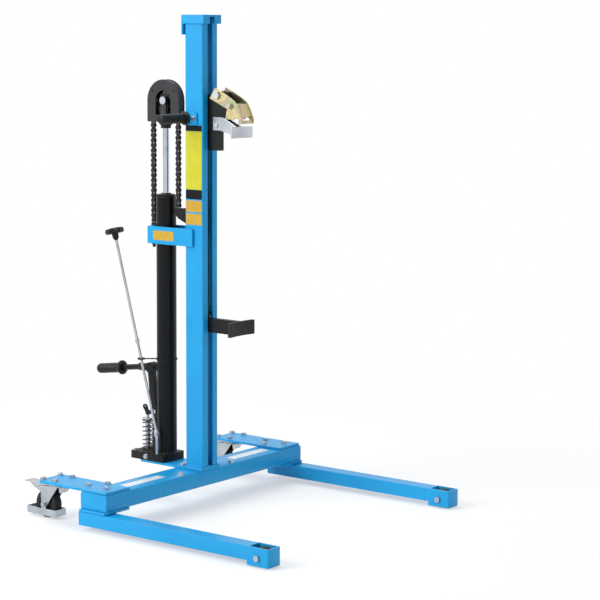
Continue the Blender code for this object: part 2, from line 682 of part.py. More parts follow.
def make_mast_channel(root, blue, side, name):
    """Folded channel whose lips leave a slot in front and behind."""
    outer = side * MAST_HALF_WIDTH
    inner = side * (MAST_HALF_WIDTH - MAST_WALL)
    lip = side * MAST_SLOT_HALF
    fold = 0.003
    outline = [(MAST_FRONT, lip), (MAST_FRONT, outer - side * fold), (MAST_FRONT - fold, outer),
               (MAST_REAR + fold, outer), (MAST_REAR, outer - side * fold), (MAST_REAR, lip),
               (MAST_REAR + MAST_WALL, lip), (MAST_REAR + MAST_WALL, inner),
               (MAST_FRONT - MAST_WALL, inner), (MAST_FRONT - MAST_WALL, lip)]
    piece("mast_channel_" + name, prism(outline, "Z", MAST_BOTTOM, MAST_TOP), blue, root)


def make_mast_cap(root, blue):
    """Folded cap over the mast top, notched in front and with a long skirt behind."""
    gap = CAP_SIDE_GAP
    wall = CAP_WALL
    inner_y = MAST_HALF_WIDTH + gap
    front = MAST_FRONT + CAP_OVERHANG
    rear = MAST_REAR - CAP_OVERHANG
    bottom = CAP_TOP - CAP_SKIRT
    shell = block((rear - wall, front + wall), (-inner_y - wall, inner_y + wall),
                  (bottom, CAP_TOP))
    skirt = block((rear - wall, rear), (-inner_y - wall, inner_y + wall),
                  (CAP_TOP - CAP_REAR_SKIRT, CAP_TOP))
    space = block((rear, front), (-inner_y, inner_y), (bottom - wall, CAP_TOP - wall))
    notch = block((front - wall, front + 2 * wall), (-MAST_SLOT_HALF, MAST_SLOT_HALF),
                  (bottom - wall, CAP_TOP - wall))
    piece("mast_cap", cut(fuse(shell, skirt), space, notch), blue, root)


def make_stay_bracket(root, blue):
    """Bracket that ties the cylinder to the mast and holds the end of the chain."""
    arm_y = MAST_HALF_WIDTH + SEAT
    low, high = STAY_BOTTOM, STAY_BOTTOM + STAY_HEIGHT
    plate_front = JACK_X - CYLINDER_RADIUS - STAY_CYLINDER_GAP
    plate_rear = plate_front - STAY_REAR_PLATE
    arms = [block((plate_rear, -STAY_FRONT), (way * arm_y, way * (arm_y + STAY_ARM)), (low, high))
            for way in (-1, 1)]
    plate = block((plate_rear, plate_front), (-arm_y - STAY_ARM / 2, arm_y + STAY_ARM / 2),
                  (low, high))
    lug_reach = CHAIN_REAR_X - 0.012
    lug = block((lug_reach, plate_front - SEAT), (-0.010, 0.010), (low, high - 0.002))
    bolt_hole = disc("Z", CHAIN_REAR_X, 0, ANCHOR_BOLT_RADIUS + RUN, low - 0.01, high + 0.01, BOLT_ROUND)
    bolt_heads = [disc("X", way * 0.030, (low + high) / 2, 0.008, plate_rear - 0.006,
                       plate_rear + 0.002, 6) for way in (-1, 1)]
    body = cut(fuse(arms[0], arms[1], plate, lug, *bolt_heads), bolt_hole)
    piece("stay_bracket", body, blue, root)


def make_handle(root, blue, black, side, name):
    """Stub tube welded to a plate on the mast side, with a moulded grip pushed on."""
    length, height, thickness = HANDLE_PLATE
    face = side * (MAST_HALF_WIDTH + SEAT)
    back = face + side * thickness
    plate_low = HANDLE_Z - height / 2
    rear = HANDLE_X - HANDLE_TUBE_RADIUS - 0.006
    outline = rounded((rear, rear + length), (plate_low, plate_low + height), 0.006)
    plate = prism(outline, "Y", min(face, back), max(face, back))
    reach = side * (HANDLE_REACH - GRIP_END - SEAT)
    root_y = face + side * thickness / 2
    tube = turned([(HANDLE_TUBE_RADIUS, root_y), (HANDLE_TUBE_RADIUS, reach),
                   (HANDLE_TUBE_RADIUS - 0.0025, reach), (HANDLE_TUBE_RADIUS - 0.0025, root_y)],
                  "Y", (HANDLE_X, 0, HANDLE_Z))
    piece("handle_stub_" + name, fuse(plate, tube), blue, root)
    start = back + side * SEAT
    flange_end = start + side * GRIP_FLANGE_THICKNESS
    end = side * HANDLE_REACH
    bore = HANDLE_TUBE_RADIUS + RUN
    profile = [(bore, start), (GRIP_FLANGE_RADIUS, start), (GRIP_FLANGE_RADIUS, flange_end),
               (GRIP_RADIUS, flange_end), (GRIP_RADIUS, end - side * 0.003),
               (GRIP_RADIUS - 0.003, end), (0, end), (0, reach + side * SEAT),
               (bore, reach + side * SEAT)]
    piece("grip_" + name, turned(profile, "Y", (HANDLE_X, 0, HANDLE_Z)), black, root)


def make_pump_block(root, black):
    """Cast pump base with the tower that carries the lever and the valve spindle."""
    base = prism(rounded((-BLOCK_REAR, -BLOCK_FRONT), (-BLOCK_HALF_WIDTH, BLOCK_HALF_WIDTH),
                         0.004), "Z", BLOCK_BOTTOM, BLOCK_TOP)
    half = PUMP_TOWER_DEPTH / 2
    pivot_x, pivot_z = LEVER_PIVOT
    tower = prism(rounded((PUMP_TOWER_X - half, PUMP_TOWER_X + half),
                          (-PUMP_TOWER_HALF_WIDTH, PUMP_TOWER_HALF_WIDTH), 0.003),
                  "Z", BLOCK_TOP - 0.004, BLOCK_TOP + PUMP_TOWER_HEIGHT)
    ear = ([(pivot_x + LEVER_EAR_RADIUS, BLOCK_TOP + 0.010)]
           + arc(pivot_x, pivot_z, LEVER_EAR_RADIUS, 0, 180, 6)
           + [(pivot_x - LEVER_EAR_RADIUS, BLOCK_TOP + 0.010)])
    ear_in = LEVER_HALF_THICKNESS + SIDE_PLAY
    ears = [prism(ear, "Y", way * ear_in, way * (ear_in + LEVER_EAR_THICKNESS))
            for way in (-1, 1)]
    pin_hole = disc("Y", pivot_x, pivot_z, LEVER_PIN_RADIUS + RUN, -0.03, 0.03, BOLT_ROUND)
    plunger_hole = disc("Z", PUMP_X, 0, PLUNGER_RADIUS + RUN, BLOCK_TOP - 0.018,
                        BLOCK_TOP + 0.01)
    spindle_hole = disc("Z", SPINDLE_X, SPINDLE_Y, SPINDLE_RADIUS + RUN, BLOCK_TOP - 0.012,
                        BLOCK_TOP + 0.01)
    body = cut(fuse(base, tower, *ears), pin_hole, plunger_hole, spindle_hole)
    piece("pump_block", body, black, root)


def make_cylinder(root, black):
    """Lifting cylinder, bored from the top for the ram and its piston."""
    edge = 0.0015
    bore_bottom = CYLINDER_TOP - CYLINDER_BORE_DEPTH
    neck = GLAND_RADIUS - 0.006 + RUN
    profile = [(0, CYLINDER_BOTTOM), (CYLINDER_RADIUS, CYLINDER_BOTTOM),
               (CYLINDER_RADIUS, CYLINDER_TOP - edge), (CYLINDER_RADIUS - edge, CYLINDER_TOP),
               (neck, CYLINDER_TOP), (neck, CYLINDER_TOP - GLAND_THREAD_DEPTH - SEAT),
               (CYLINDER_BORE, CYLINDER_TOP - GLAND_THREAD_DEPTH - SEAT),
               (CYLINDER_BORE, bore_bottom), (0, bore_bottom)]
    piece("cylinder", turned(profile, "Z", (JACK_X, 0, 0), FINE_ROUND), black, root)


def make_gland_nut(root, black):
    """Gland screwed into the cylinder, with spanner notches in its rim."""
    bottom = CYLINDER_TOP + SEAT
    top = bottom + GLAND_HEIGHT
    thread = GLAND_RADIUS - 0.006
    profile = [(RAM_RADIUS + RUN, CYLINDER_TOP - GLAND_THREAD_DEPTH),
               (thread, CYLINDER_TOP - GLAND_THREAD_DEPTH), (thread, bottom),
               (GLAND_RADIUS, bottom), (GLAND_RADIUS, top), (RAM_RADIUS + RUN, top)]
    nut = turned(profile, "Z", (JACK_X, 0, 0))
    notches = []
    for turn in (0, pi / 2, pi, 3 * pi / 2):
        x = JACK_X + GLAND_RADIUS * cos(turn)
        y = GLAND_RADIUS * sin(turn)
        notches.append(block((x - 0.004, x + 0.004), (y - 0.004, y + 0.004),
                             (bottom + 0.0015, top + 0.002)))
    piece("gland_nut", cut(nut, *notches), black, root)


def make_ram_rod(ram, chrome):
    """Chromed ram with its piston at the foot."""
    top = YOKE_BOTTOM - SEAT
    profile = [(0, RAM_BOTTOM), (CYLINDER_BORE - RUN, RAM_BOTTOM),
               (CYLINDER_BORE - RUN, RAM_BOTTOM + PISTON_HEIGHT),
               (RAM_RADIUS, RAM_BOTTOM + PISTON_HEIGHT), (RAM_RADIUS, top), (0, top)]
    piece("ram_rod", turned(profile, "Z", (JACK_X, 0, 0)), chrome, ram)


def make_pump_spring(root, steel):
    """Return spring: one wire swept along a helix with closed ends."""
    sections = 5
    per_turn = 10
    wire = SPRING_WIRE / 2
    radius = SPRING_RADIUS - wire
    low = SPRING_BOTTOM + wire
    rise = SPRING_HEIGHT - SPRING_WIRE
    count = SPRING_TURNS * per_turn
    bm = bmesh.new()
    rings = []
    for k in range(count + 1):
        turn = 2 * pi * k / per_turn
        z = low + rise * spring_rise(k / count)
        rings.append([])
        for j in range(sections):
            around = 2 * pi * j / sections
            reach = radius + wire * cos(around)
            rings[-1].append(bm.verts.new((PUMP_X + reach * cos(turn), reach * sin(turn),
                                           z + wire * sin(around))))
    for ring, following in zip(rings, rings[1:]):
        for j in range(sections):
            bm.faces.new((ring[j - 1], ring[j], following[j], following[j - 1]))
    bm.faces.new(rings[0])
    bm.faces.new(rings[-1])
    piece("pump_spring", loose_solid(bm), steel, root)


def spring_rise(share):
    """Share of the spring's height after a share of its turns, with closer end coils."""
    closed = 1 / SPRING_TURNS
    flat = 1.15 * SPRING_WIRE / (SPRING_HEIGHT - SPRING_WIRE)
    if share < closed:
        return flat * share / closed
    if share > 1 - closed:
        return 1 - flat * (1 - share) / closed
    return flat + (1 - 2 * flat) * (share - closed) / (1 - 2 * closed)


def make_pump_plunger(holder, zinc):
    """Plunger with the spring's cap and the stud under the lever's nose."""
    stud_bottom = SPRING_TOP + SEAT + SPRING_CAP
    bottom = BLOCK_TOP - 0.002
    profile = [(0, bottom), (PLUNGER_RADIUS, bottom), (PLUNGER_RADIUS, SPRING_TOP + SEAT),
               (SPRING_RADIUS, SPRING_TOP + SEAT), (SPRING_RADIUS, stud_bottom),
               (PLUNGER_STUD_RADIUS, stud_bottom),
               (PLUNGER_STUD_RADIUS, stud_bottom + PLUNGER_STUD), (0, stud_bottom + PLUNGER_STUD)]
    piece("pump_plunger", turned(profile, "Z", (PUMP_X, 0, 0)), zinc, holder)


def make_pump_lever(lever, black):
    """Forged lever: nose on the plunger, cranked arm, head and pedal tube."""
    pivot_x, pivot_z = LEVER_PIVOT
    stud_top = SPRING_TOP + SEAT + SPRING_CAP + PLUNGER_STUD
    nose_z = stud_top + SEAT + LEVER_NOSE_RADIUS
    half = LEVER_HALF_THICKNESS
    hub = disc("Y", pivot_x, pivot_z, LEVER_EAR_RADIUS, -half, half)
    nose = strap((pivot_x, pivot_z), (PUMP_X, nose_z), 0.008, LEVER_NOSE_RADIUS, 0.75 * half)
    shank = strap((pivot_x, pivot_z), LEVER_KNEE, LEVER_EAR_RADIUS, 0.009, half)
    arm = strap(LEVER_KNEE, LEVER_HEAD, 0.009, 0.012, half)
    head = disc("Y", LEVER_HEAD[0], LEVER_HEAD[1], 0.017, -0.013, 0.013)
    socket = stick((LEVER_HEAD[0], 0, LEVER_HEAD[1]), (LEVER_TUBE_START[0] - 0.030, 0,
                   LEVER_TUBE_START[1] - 0.0035), LEVER_TUBE_RADIUS + 0.003)
    tube = stick((LEVER_TUBE_START[0], 0, LEVER_TUBE_START[1]),
                 (LEVER_TUBE_END[0], 0, LEVER_TUBE_END[1]), LEVER_TUBE_RADIUS)
    eye = strap((PUMP_X, nose_z), LEVER_EYE, LEVER_NOSE_RADIUS - 0.001, LEVER_EYE_RADIUS, 0.003)
    eye_hole = disc("Y", LEVER_EYE[0], LEVER_EYE[1], LEVER_EYE_RADIUS / 2, -0.01, 0.01, 12)
    pin_hole = disc("Y", pivot_x, pivot_z, LEVER_PIN_RADIUS + RUN, -0.03, 0.03, 16)
    body = cut(fuse(hub, nose, shank, arm, head, socket, tube, eye), eye_hole, pin_hole)
    piece("pump_lever", body, black, lever)


def strap(start, end, start_radius, end_radius, half):
    """Flat link in the X-Z plane with a round end at each place."""
    turn = atan2(end[1] - start[1], end[0] - start[0]) * 180 / pi
    outline = (arc(start[0], start[1], start_radius, turn + 90, turn + 270, 4)
               + arc(end[0], end[1], end_radius, turn - 90, turn + 90, 4))
    return prism(outline, "Y", -half, half)


def make_lever_pin(root, zinc):
    """Headed pin that the pump lever turns on."""
    reach = LEVER_HALF_THICKNESS + SIDE_PLAY + LEVER_EAR_THICKNESS + SEAT
    radius = LEVER_PIN_RADIUS
    profile = [(0, -reach - 0.003), (1.7 * radius, -reach - 0.003), (1.7 * radius, -reach),
               (radius, -reach), (radius, reach), (1.7 * radius, reach),
               (1.7 * radius, reach + 0.003), (0, reach + 0.003)]
    pivot_x, pivot_z = LEVER_PIVOT
    piece("lever_pin", turned(profile, "Y", (pivot_x, 0, pivot_z), BOLT_ROUND), zinc, root)


def make_pedal_grip(lever, black):
    """Moulded pedal sleeve with a flange, closed at its rear end."""
    start = Vector((LEVER_TUBE_START[0], 0, LEVER_TUBE_START[1]))
    end = Vector((LEVER_TUBE_END[0], 0, LEVER_TUBE_END[1]))
    flange = Vector((PEDAL_FLANGE[0], 0, PEDAL_FLANGE[1]))
    heading = (end - start).normalized()
    begin = (flange - start).dot(heading)
    inside = (end - start).length + SEAT
    drop = PEDAL_GRIP_RADIUS * abs(heading.z)
    outside = (PEDAL_REAR + start.x - drop) / abs(heading.x)
    bore = LEVER_TUBE_RADIUS + RUN
    profile = [(bore, begin - 0.006), (PEDAL_FLANGE_RADIUS - 0.004, begin - 0.006),
               (PEDAL_FLANGE_RADIUS, begin - 0.002), (PEDAL_FLANGE_RADIUS, begin + 0.004),
               (PEDAL_GRIP_RADIUS, begin + 0.008), (PEDAL_GRIP_RADIUS, outside),
               (0, outside), (0, inside), (bore, inside)]
    grip = aim(turned(profile, "Z", (0, 0, 0)), start, end)
    piece("pedal_grip", grip, black, lever)


def knuckle():
    """Place where the sloping release rod meets the upright spindle."""
    return Vector((SPINDLE_X, SPINDLE_Y, KNUCKLE_Z))


def make_release_spindle(holder, zinc):
    """Valve spindle with a flat, drilled tongue on top."""
    x, y, z = knuckle()
    bottom = BLOCK_TOP - 0.010
    shaft = disc("Z", x, y, SPINDLE_RADIUS, bottom, z - 0.010, BOLT_ROUND)
    half = KNUCKLE_TONGUE / 2
    eye = KNUCKLE_EYE_RADIUS
    foot = z - 0.012
    tongue = [(x - eye, foot)] + arc(x, z, eye, 180, 0, 6) + [(x + eye, foot)]
    hole = disc("Y", x, z, KNUCKLE_HOLE_RADIUS, y - 0.01, y + 0.01, BOLT_ROUND)
    body = cut(fuse(shaft, prism(tongue, "Y", y - half, y + half)), hole)
    piece("release_spindle", body, zinc, holder)


def make_release_rod(holder, zinc):
    """Sloping rod with a fork and cross pin at its foot."""
    place = knuckle()
    neck = Vector(RELEASE_NECK)
    length = (neck - place).length
    reach = 0.006
    collar = disc("Z", 0, 0, 0.0080, reach + 0.001, reach + 0.011, BOLT_ROUND)
    rod = disc("Z", 0, 0, RELEASE_ROD_RADIUS, reach + 0.005, length + RELEASE_STEM_HEIGHT,
               BOLT_ROUND)
    cheeks = [prism(rounded((-0.005, 0.005), (-0.005, reach + 0.006), 0.003, 2), "Y",
                    way * 0.0048, way * 0.0078) for way in (-1, 1)]
    pin = disc("Y", 0, 0, KNUCKLE_PIN_RADIUS, -0.0085, 0.0085, 8)
    clamp_at = length * 0.47
    clamp = disc("Z", 0, 0, RELEASE_ROD_RADIUS + 0.0025, clamp_at, clamp_at + 0.010, BOLT_ROUND)
    body = fuse(collar, rod, clamp, *cheeks, pin)
    piece("release_rod", aim(body, place, neck), zinc, holder)


def make_release_knob(holder, black):
    """Lobed hand knob with a round neck, blind bored onto the rod."""
    place = knuckle()
    neck = Vector(RELEASE_NECK)
    length = (neck - place).length
    lobes = 5
    steps = 8
    outline = []
    for k in range(lobes * steps):
        turn = 2 * pi * k / (lobes * steps)
        swell = 0.88 + 0.12 * cos(lobes * turn)
        outline.append((RELEASE_KNOB_RADIUS * swell * cos(turn),
                        RELEASE_KNOB_RADIUS * swell * sin(turn)))
    bottom = length + RELEASE_STEM_HEIGHT
    body = prism(outline, "Z", bottom, bottom + RELEASE_KNOB_HEIGHT)
    stem = disc("Z", 0, 0, RELEASE_STEM_RADIUS, length - 0.002, bottom + 0.004)
    bore = disc("Z", 0, 0, RELEASE_ROD_RADIUS + RUN, length - 0.010, bottom + SEAT, BOLT_ROUND)
    knob = cut(fuse(body, stem), bore)
    piece("release_knob", aim(knob, place, neck), black, holder)


def make_rod_guide(root, black):
    """Wire eye round the release rod, on a band clipped round the cylinder."""
    place = knuckle()
    run = Vector(RELEASE_NECK) - place
    centre = place + run * ((GUIDE_Z - place.z) / run.z)
    wire = GUIDE_WIRE
    band_radius = CYLINDER_RADIUS + RUN
    band = ring_of("Z", JACK_X, 0, band_radius + wire, band_radius, GUIDE_Z - wire,
                   GUIDE_Z + wire, FINE_ROUND)
    eye = ring_of("Z", centre.x, centre.y, GUIDE_LOOP + 2 * wire, GUIDE_LOOP, GUIDE_Z - wire,
                  GUIDE_Z + wire, BOLT_ROUND)
    outward = Vector((centre.x - JACK_X, centre.y, 0)).normalized()
    start = Vector((JACK_X, 0, GUIDE_Z)) + outward * (band_radius + wire / 2)
    end = Vector((centre.x, centre.y, GUIDE_Z)) - outward * (GUIDE_LOOP + wire)
    arm = stick(start, end, 0.8 * wire, 8)
    piece("rod_guide", fuse(band, eye, arm), black, root)


def make_chain_yoke(ram, black):
    """Block on the ram with a cheek on each side of the chain wheel."""
    cheek_in = WHEEL_HUB_HALF + SIDE_PLAY
    cheek_out = cheek_in + YOKE_CHEEK
    top = YOKE_BOTTOM + YOKE_BLOCK_HEIGHT
    half = YOKE_HALF_DEPTH
    base = disc("Z", JACK_X, 0, 0.016, YOKE_BOTTOM, YOKE_BOTTOM + 0.014)
    bridge = block((JACK_X - half, JACK_X + half), (-cheek_out, cheek_out),
                   (YOKE_BOTTOM + 0.010, top))
    outline = ([(JACK_X + half, YOKE_BOTTOM + 0.012)]
               + arc(JACK_X, HEAD_Z, 0.015, 0, 180, 8)
               + [(JACK_X - half, YOKE_BOTTOM + 0.012)])
    cheeks = [prism(outline, "Y", way * cheek_in, way * cheek_out) for way in (-1, 1)]
    hole = disc("Y", JACK_X, HEAD_Z, HEAD_PIN_RADIUS + RUN, -0.03, 0.03)
    piece("chain_yoke", cut(fuse(base, bridge, *cheeks), hole), black, ram)


def make_wheel_pin(ram, zinc):
    """Pin through the yoke and the guard, flush heads outside."""
    reach = GUARD_HALF_WIDTH + SEAT
    head = 1.5 * HEAD_PIN_RADIUS
    profile = [(0, -reach - 0.003), (head, -reach - 0.003), (head, -reach),
               (HEAD_PIN_RADIUS, -reach), (HEAD_PIN_RADIUS, reach), (head, reach),
               (head, reach + 0.003), (0, reach + 0.003)]
    piece("wheel_pin", turned(profile, "Y", (JACK_X, 0, HEAD_Z)), zinc, ram)


def make_chain_wheel(holder, steel):
    """Grooveless chain roller: rim between the link plates, web with round holes."""
    rim = CHAIN_RADIUS - CHAIN_ROLLER_RADIUS - RUN
    bore = HEAD_PIN_RADIUS + RUN
    hub = WHEEL_HUB_RADIUS
    one_side = [(rim, WHEEL_RIM_HALF), (rim - 0.006, WHEEL_RIM_HALF),
                (rim - 0.007, WHEEL_WEB_HALF), (hub, WHEEL_WEB_HALF), (hub, WHEEL_HUB_HALF),
                (bore, WHEEL_HUB_HALF)]
    profile = one_side + [(radius, -height) for radius, height in reversed(one_side)]
    centre = (JACK_X, 0, HEAD_Z)
    wheel = turned(profile, "Y", centre, FINE_ROUND)
    holes = []
    for k in range(WHEEL_HOLES):
        turn = 2 * pi * k / WHEEL_HOLES + WHEEL_HOLE_TURN
        holes.append(disc("Y", JACK_X + WHEEL_HOLE_CIRCLE * cos(turn),
                          HEAD_Z + WHEEL_HOLE_CIRCLE * sin(turn), WHEEL_HOLE_RADIUS,
                          -0.01, 0.01, 8))
    piece("chain_wheel", cut(wheel, *holes), steel, holder)


def guard_arch(radius, bottom):
    """Outline of an arch round the chain wheel's axis, straight below it."""
    return ([(JACK_X + radius, bottom)] + arc(JACK_X, HEAD_Z, radius, 0, 180, 16)
            + [(JACK_X - radius, bottom)])


def make_chain_guard(ram, black):
    """Folded arch over the chain wheel, open below, with a window in each face."""
    sheet = GUARD_SHEET
    shell = prism(guard_arch(GUARD_RADIUS, GUARD_BOTTOM), "Y", -GUARD_HALF_WIDTH,
                  GUARD_HALF_WIDTH)
    inner = GUARD_HALF_WIDTH - sheet
    space = prism(guard_arch(GUARD_RADIUS - sheet, GUARD_BOTTOM - 0.01), "Y", -inner, inner)
    window = prism(guard_arch(GUARD_WINDOW_RADIUS, GUARD_WINDOW_BOTTOM), "Y", -0.03, 0.03)
    strips = [block((JACK_X - 0.011, JACK_X + 0.011),
                    (way * inner, way * GUARD_HALF_WIDTH),
                    (GUARD_WINDOW_BOTTOM - 0.004, HEAD_Z + 0.012)) for way in (-1, 1)]
    pin_hole = disc("Y", JACK_X, HEAD_Z, HEAD_PIN_RADIUS + RUN, -0.03, 0.03)
    body = fuse(cut(shell, space, window), *strips)
    piece("chain_guard", cut(body, pin_hole), black, ram)


def chain_side(joints, low, high):
    """Waisted link plates along one side of a chain, joint after joint."""
    radius = CHAIN_PLATE_HEIGHT / 2
    waist = 0.70 * radius
    upper, lower = [], []
    for k, (x, z) in enumerate(joints):
        back = joints[max(k - 1, 0)]
        ahead = joints[min(k + 1, len(joints) - 1)]
        run = Vector((ahead[0] - back[0], ahead[1] - back[1])).normalized()
        out = Vector((-run.y, run.x))
        spot = Vector((x, z))
        for along in (-0.4, 0.4):
            step = run * (along * radius)
            upper.append(spot + step + out * (0.92 * radius))
            lower.append(spot + step - out * (0.92 * radius))
        if k < len(joints) - 1:
            middle = (spot + Vector(ahead)) / 2
            link = Vector((ahead[0] - x, ahead[1] - z)).normalized()
            side = Vector((-link.y, link.x)) * waist
            upper.append(middle + side)
            lower.append(middle - side)
    return prism([tuple(spot) for spot in upper + lower[::-1]], "Y", low, high)


def chain_solid(joints):
    """Roller chain through a list of joints: rollers between two rows of plates."""
    inner = CHAIN_INNER_HALF
    outer = inner + CHAIN_PLATE
    sides = [chain_side(joints, way * inner, way * outer) for way in (-1, 1)]
    reach = (inner + outer) / 2
    rollers = [disc("Y", x, z, CHAIN_ROLLER_RADIUS, -reach, reach, 6) for x, z in joints]
    return fuse(*sides, *rollers)


def straight_joints(x, top, bottom):
    """Joints down a strand, the first half a pitch above its top end."""
    count = ceil((top - bottom) / CHAIN_PITCH + 0.5) + 1
    return [(x, top + CHAIN_PITCH * (0.5 - k)) for k in range(count)]


def trim_band(x, low, high):
    """Tall block used to cut a strand off square at a level."""
    return block((x - 0.02, x + 0.02), (-0.02, 0.02), (low, high))


def make_chain(root, ram, steel):
    """The chain in three lengths: up from the anchor, over the wheel, down to the carriage."""
    rear_top = HEAD_Z - SEAT / 2
    rear = chain_solid(straight_joints(CHAIN_REAR_X, HEAD_Z, ANCHOR_Z))
    rear = cut(rear, trim_band(CHAIN_REAR_X, rear_top, HEAD_Z + 0.05),
               trim_band(CHAIN_REAR_X, ANCHOR_Z - 0.05, ANCHOR_Z + SEAT))
    piece("chain_rear_strand", rear, steel, root, (CHAIN_REAR_X, 0, ANCHOR_Z))
    front = chain_solid(straight_joints(CHAIN_FRONT_X, HEAD_Z, CARRIAGE_CHAIN_Z))
    front = cut(front, trim_band(CHAIN_FRONT_X, rear_top, HEAD_Z + 0.05),
                trim_band(CHAIN_FRONT_X, CARRIAGE_CHAIN_Z - 0.05, CARRIAGE_CHAIN_Z + SEAT))
    piece("chain_front_strand", front, steel, ram, (CHAIN_FRONT_X, 0, HEAD_Z))
    half_turn = CHAIN_TEETH_EQUIVALENT // 2
    joints = []
    for k in range(-1, half_turn + 1):
        turn = 2 * pi * (k + 0.5) / CHAIN_TEETH_EQUIVALENT
        joints.append((JACK_X + CHAIN_RADIUS * cos(turn), HEAD_Z + CHAIN_RADIUS * sin(turn)))
    wrap = cut(chain_solid(joints),
               block((JACK_X - 0.1, JACK_X + 0.1), (-0.02, 0.02),
                     (HEAD_Z - 0.05, HEAD_Z + SEAT / 2)))
    piece("chain_wrap", wrap, steel, ram, (JACK_X, 0, HEAD_Z))


def make_chain_anchor(root, steel):
    """Anchor bolt through the stay bracket, with a block at the chain's last joint."""
    low, high = STAY_BOTTOM, STAY_BOTTOM + STAY_HEIGHT
    seat = high - 0.002 + SEAT
    bolt = disc("Z", CHAIN_REAR_X, 0, ANCHOR_BOLT_RADIUS, ANCHOR_BOLT_BOTTOM, seat + 0.002, BOLT_ROUND)
    head = block((CHAIN_REAR_X - 0.0055, CHAIN_REAR_X + 0.0055), (-0.007, 0.007),
                 (seat, ANCHOR_Z))
    nut = disc("Z", CHAIN_REAR_X, 0, 0.008, low - SEAT - 0.008, low - SEAT, 6)
    piece("chain_anchor", fuse(bolt, head, nut), steel, root)


def make_carriage_frame(carriage, black):
    """Carriage plate: bar inside the mast, blade through the slot, and its three arms."""
    half = CARRIAGE_HALF
    pad_back = (DRUM_AXIS_X - DRUM_BODY_RADIUS - BODY_CLEARANCE - REST_PAD_THICKNESS - SEAT)
    rest_top = CARRIAGE_BOTTOM + REST_HEIGHT
    outline = [(CARRIAGE_BAR_REAR, CARRIAGE_BOTTOM), (pad_back, CARRIAGE_BOTTOM),
               (pad_back, rest_top), (CARRIAGE_BAR_FRONT, rest_top),
               (CARRIAGE_BAR_FRONT, BLADE_BOTTOM), (BLADE_REACH, BLADE_BOTTOM),
               (BLADE_REACH, BLADE_STEP), (BLADE_TOP_REACH, BLADE_STEP),
               (BLADE_TOP_REACH, BLADE_SHOULDER), (BLADE_REACH, CARRIAGE_TOP),
               (CARRIAGE_BAR_REAR, CARRIAGE_TOP)]
    plate = prism(outline, "Y", -half, half)
    chain_z = CARRIAGE_CHAIN_Z
    arm_front = CARRIAGE_BAR_REAR + 0.006
    chain_half = CHAIN_PLATE_HEIGHT / 2 + 0.001
    arm_outline = [(arm_front, chain_z + 0.015), (MAST_REAR - 0.030, chain_z),
                   (CHAIN_FRONT_X - chain_half, chain_z), (CHAIN_FRONT_X - chain_half, chain_z - 0.020),
                   (CHAIN_FRONT_X + chain_half, chain_z - CHAIN_ARM_HEIGHT),
                   (arm_front, chain_z - 2 * CHAIN_ARM_HEIGHT)]
    arm = prism(arm_outline, "Y", -half + SEAT, half - SEAT)
    boss_reach = JAW_PLATE_INNER - SIDE_PLAY
    boss = disc("Y", JAW_PIVOT[0], JAW_PIVOT[1], JAW_BOSS_RADIUS, -boss_reach, boss_reach)
    solids = [arm, boss]
    shoulder = MAST_ROLLER_INNER_Y - SIDE_PLAY
    collar = MAST_ROLLER_INNER_Y + MAST_ROLLER_WIDTH + SIDE_PLAY
    for z in (MAST_ROLLER_HIGH, MAST_ROLLER_LOW):
        for way in (-1, 1):
            profile = [(0, 0), (ROLLER_COLLAR_RADIUS, 0), (ROLLER_COLLAR_RADIUS, way * shoulder),
                       (ROLLER_AXLE_RADIUS, way * shoulder), (ROLLER_AXLE_RADIUS, way * collar),
                       (ROLLER_COLLAR_RADIUS, way * collar),
                       (ROLLER_COLLAR_RADIUS, way * (collar + ROLLER_COLLAR)),
                       (0, way * (collar + ROLLER_COLLAR))]
            solids.append(turned(profile, "Y", (MAST_MID_X, 0, z), BOLT_ROUND))
    pin_hole = disc("Y", JAW_PIVOT[0], JAW_PIVOT[1], JAW_PIN_RADIUS + RUN, -0.05, 0.05)
    bolt_hole = disc("Y", LOWER_JAW_BOLT[0], LOWER_JAW_BOLT[1], LOWER_JAW_BOLT_RADIUS + RUN,
                     -0.05, 0.05, BOLT_ROUND)
    piece("carriage_frame", cut(fuse(plate, *solids), pin_hole, bolt_hole), black, carriage)


def make_mast_rollers(carriage, steel):
    """Four rollers that run inside the mast channels, each on its own axis."""
    bore = ROLLER_AXLE_RADIUS + RUN
    rim = MAST_ROLLER_RADIUS
    edge = 0.0015
    for level, z in (("upper", MAST_ROLLER_HIGH), ("lower", MAST_ROLLER_LOW)):
        for name, side in (("left", 1), ("right", -1)):
            low = MAST_ROLLER_INNER_Y
            high = low + MAST_ROLLER_WIDTH
            centre = (MAST_MID_X, 0, z)
            place = (MAST_MID_X, side * (low + high) / 2, z)
            holder = carrier(f"mast_roller_axis_{level}_{name}", place, carriage)
            profile = [(bore, side * low), (rim - edge, side * low), (rim, side * (low + edge)),
                       (rim, side * (high - edge)), (rim - edge, side * high),
                       (bore, side * high)]
            roller = turned(profile, "Y", centre, FINE_ROUND)
            piece(f"mast_roller_{level}_{name}", roller, steel, holder)


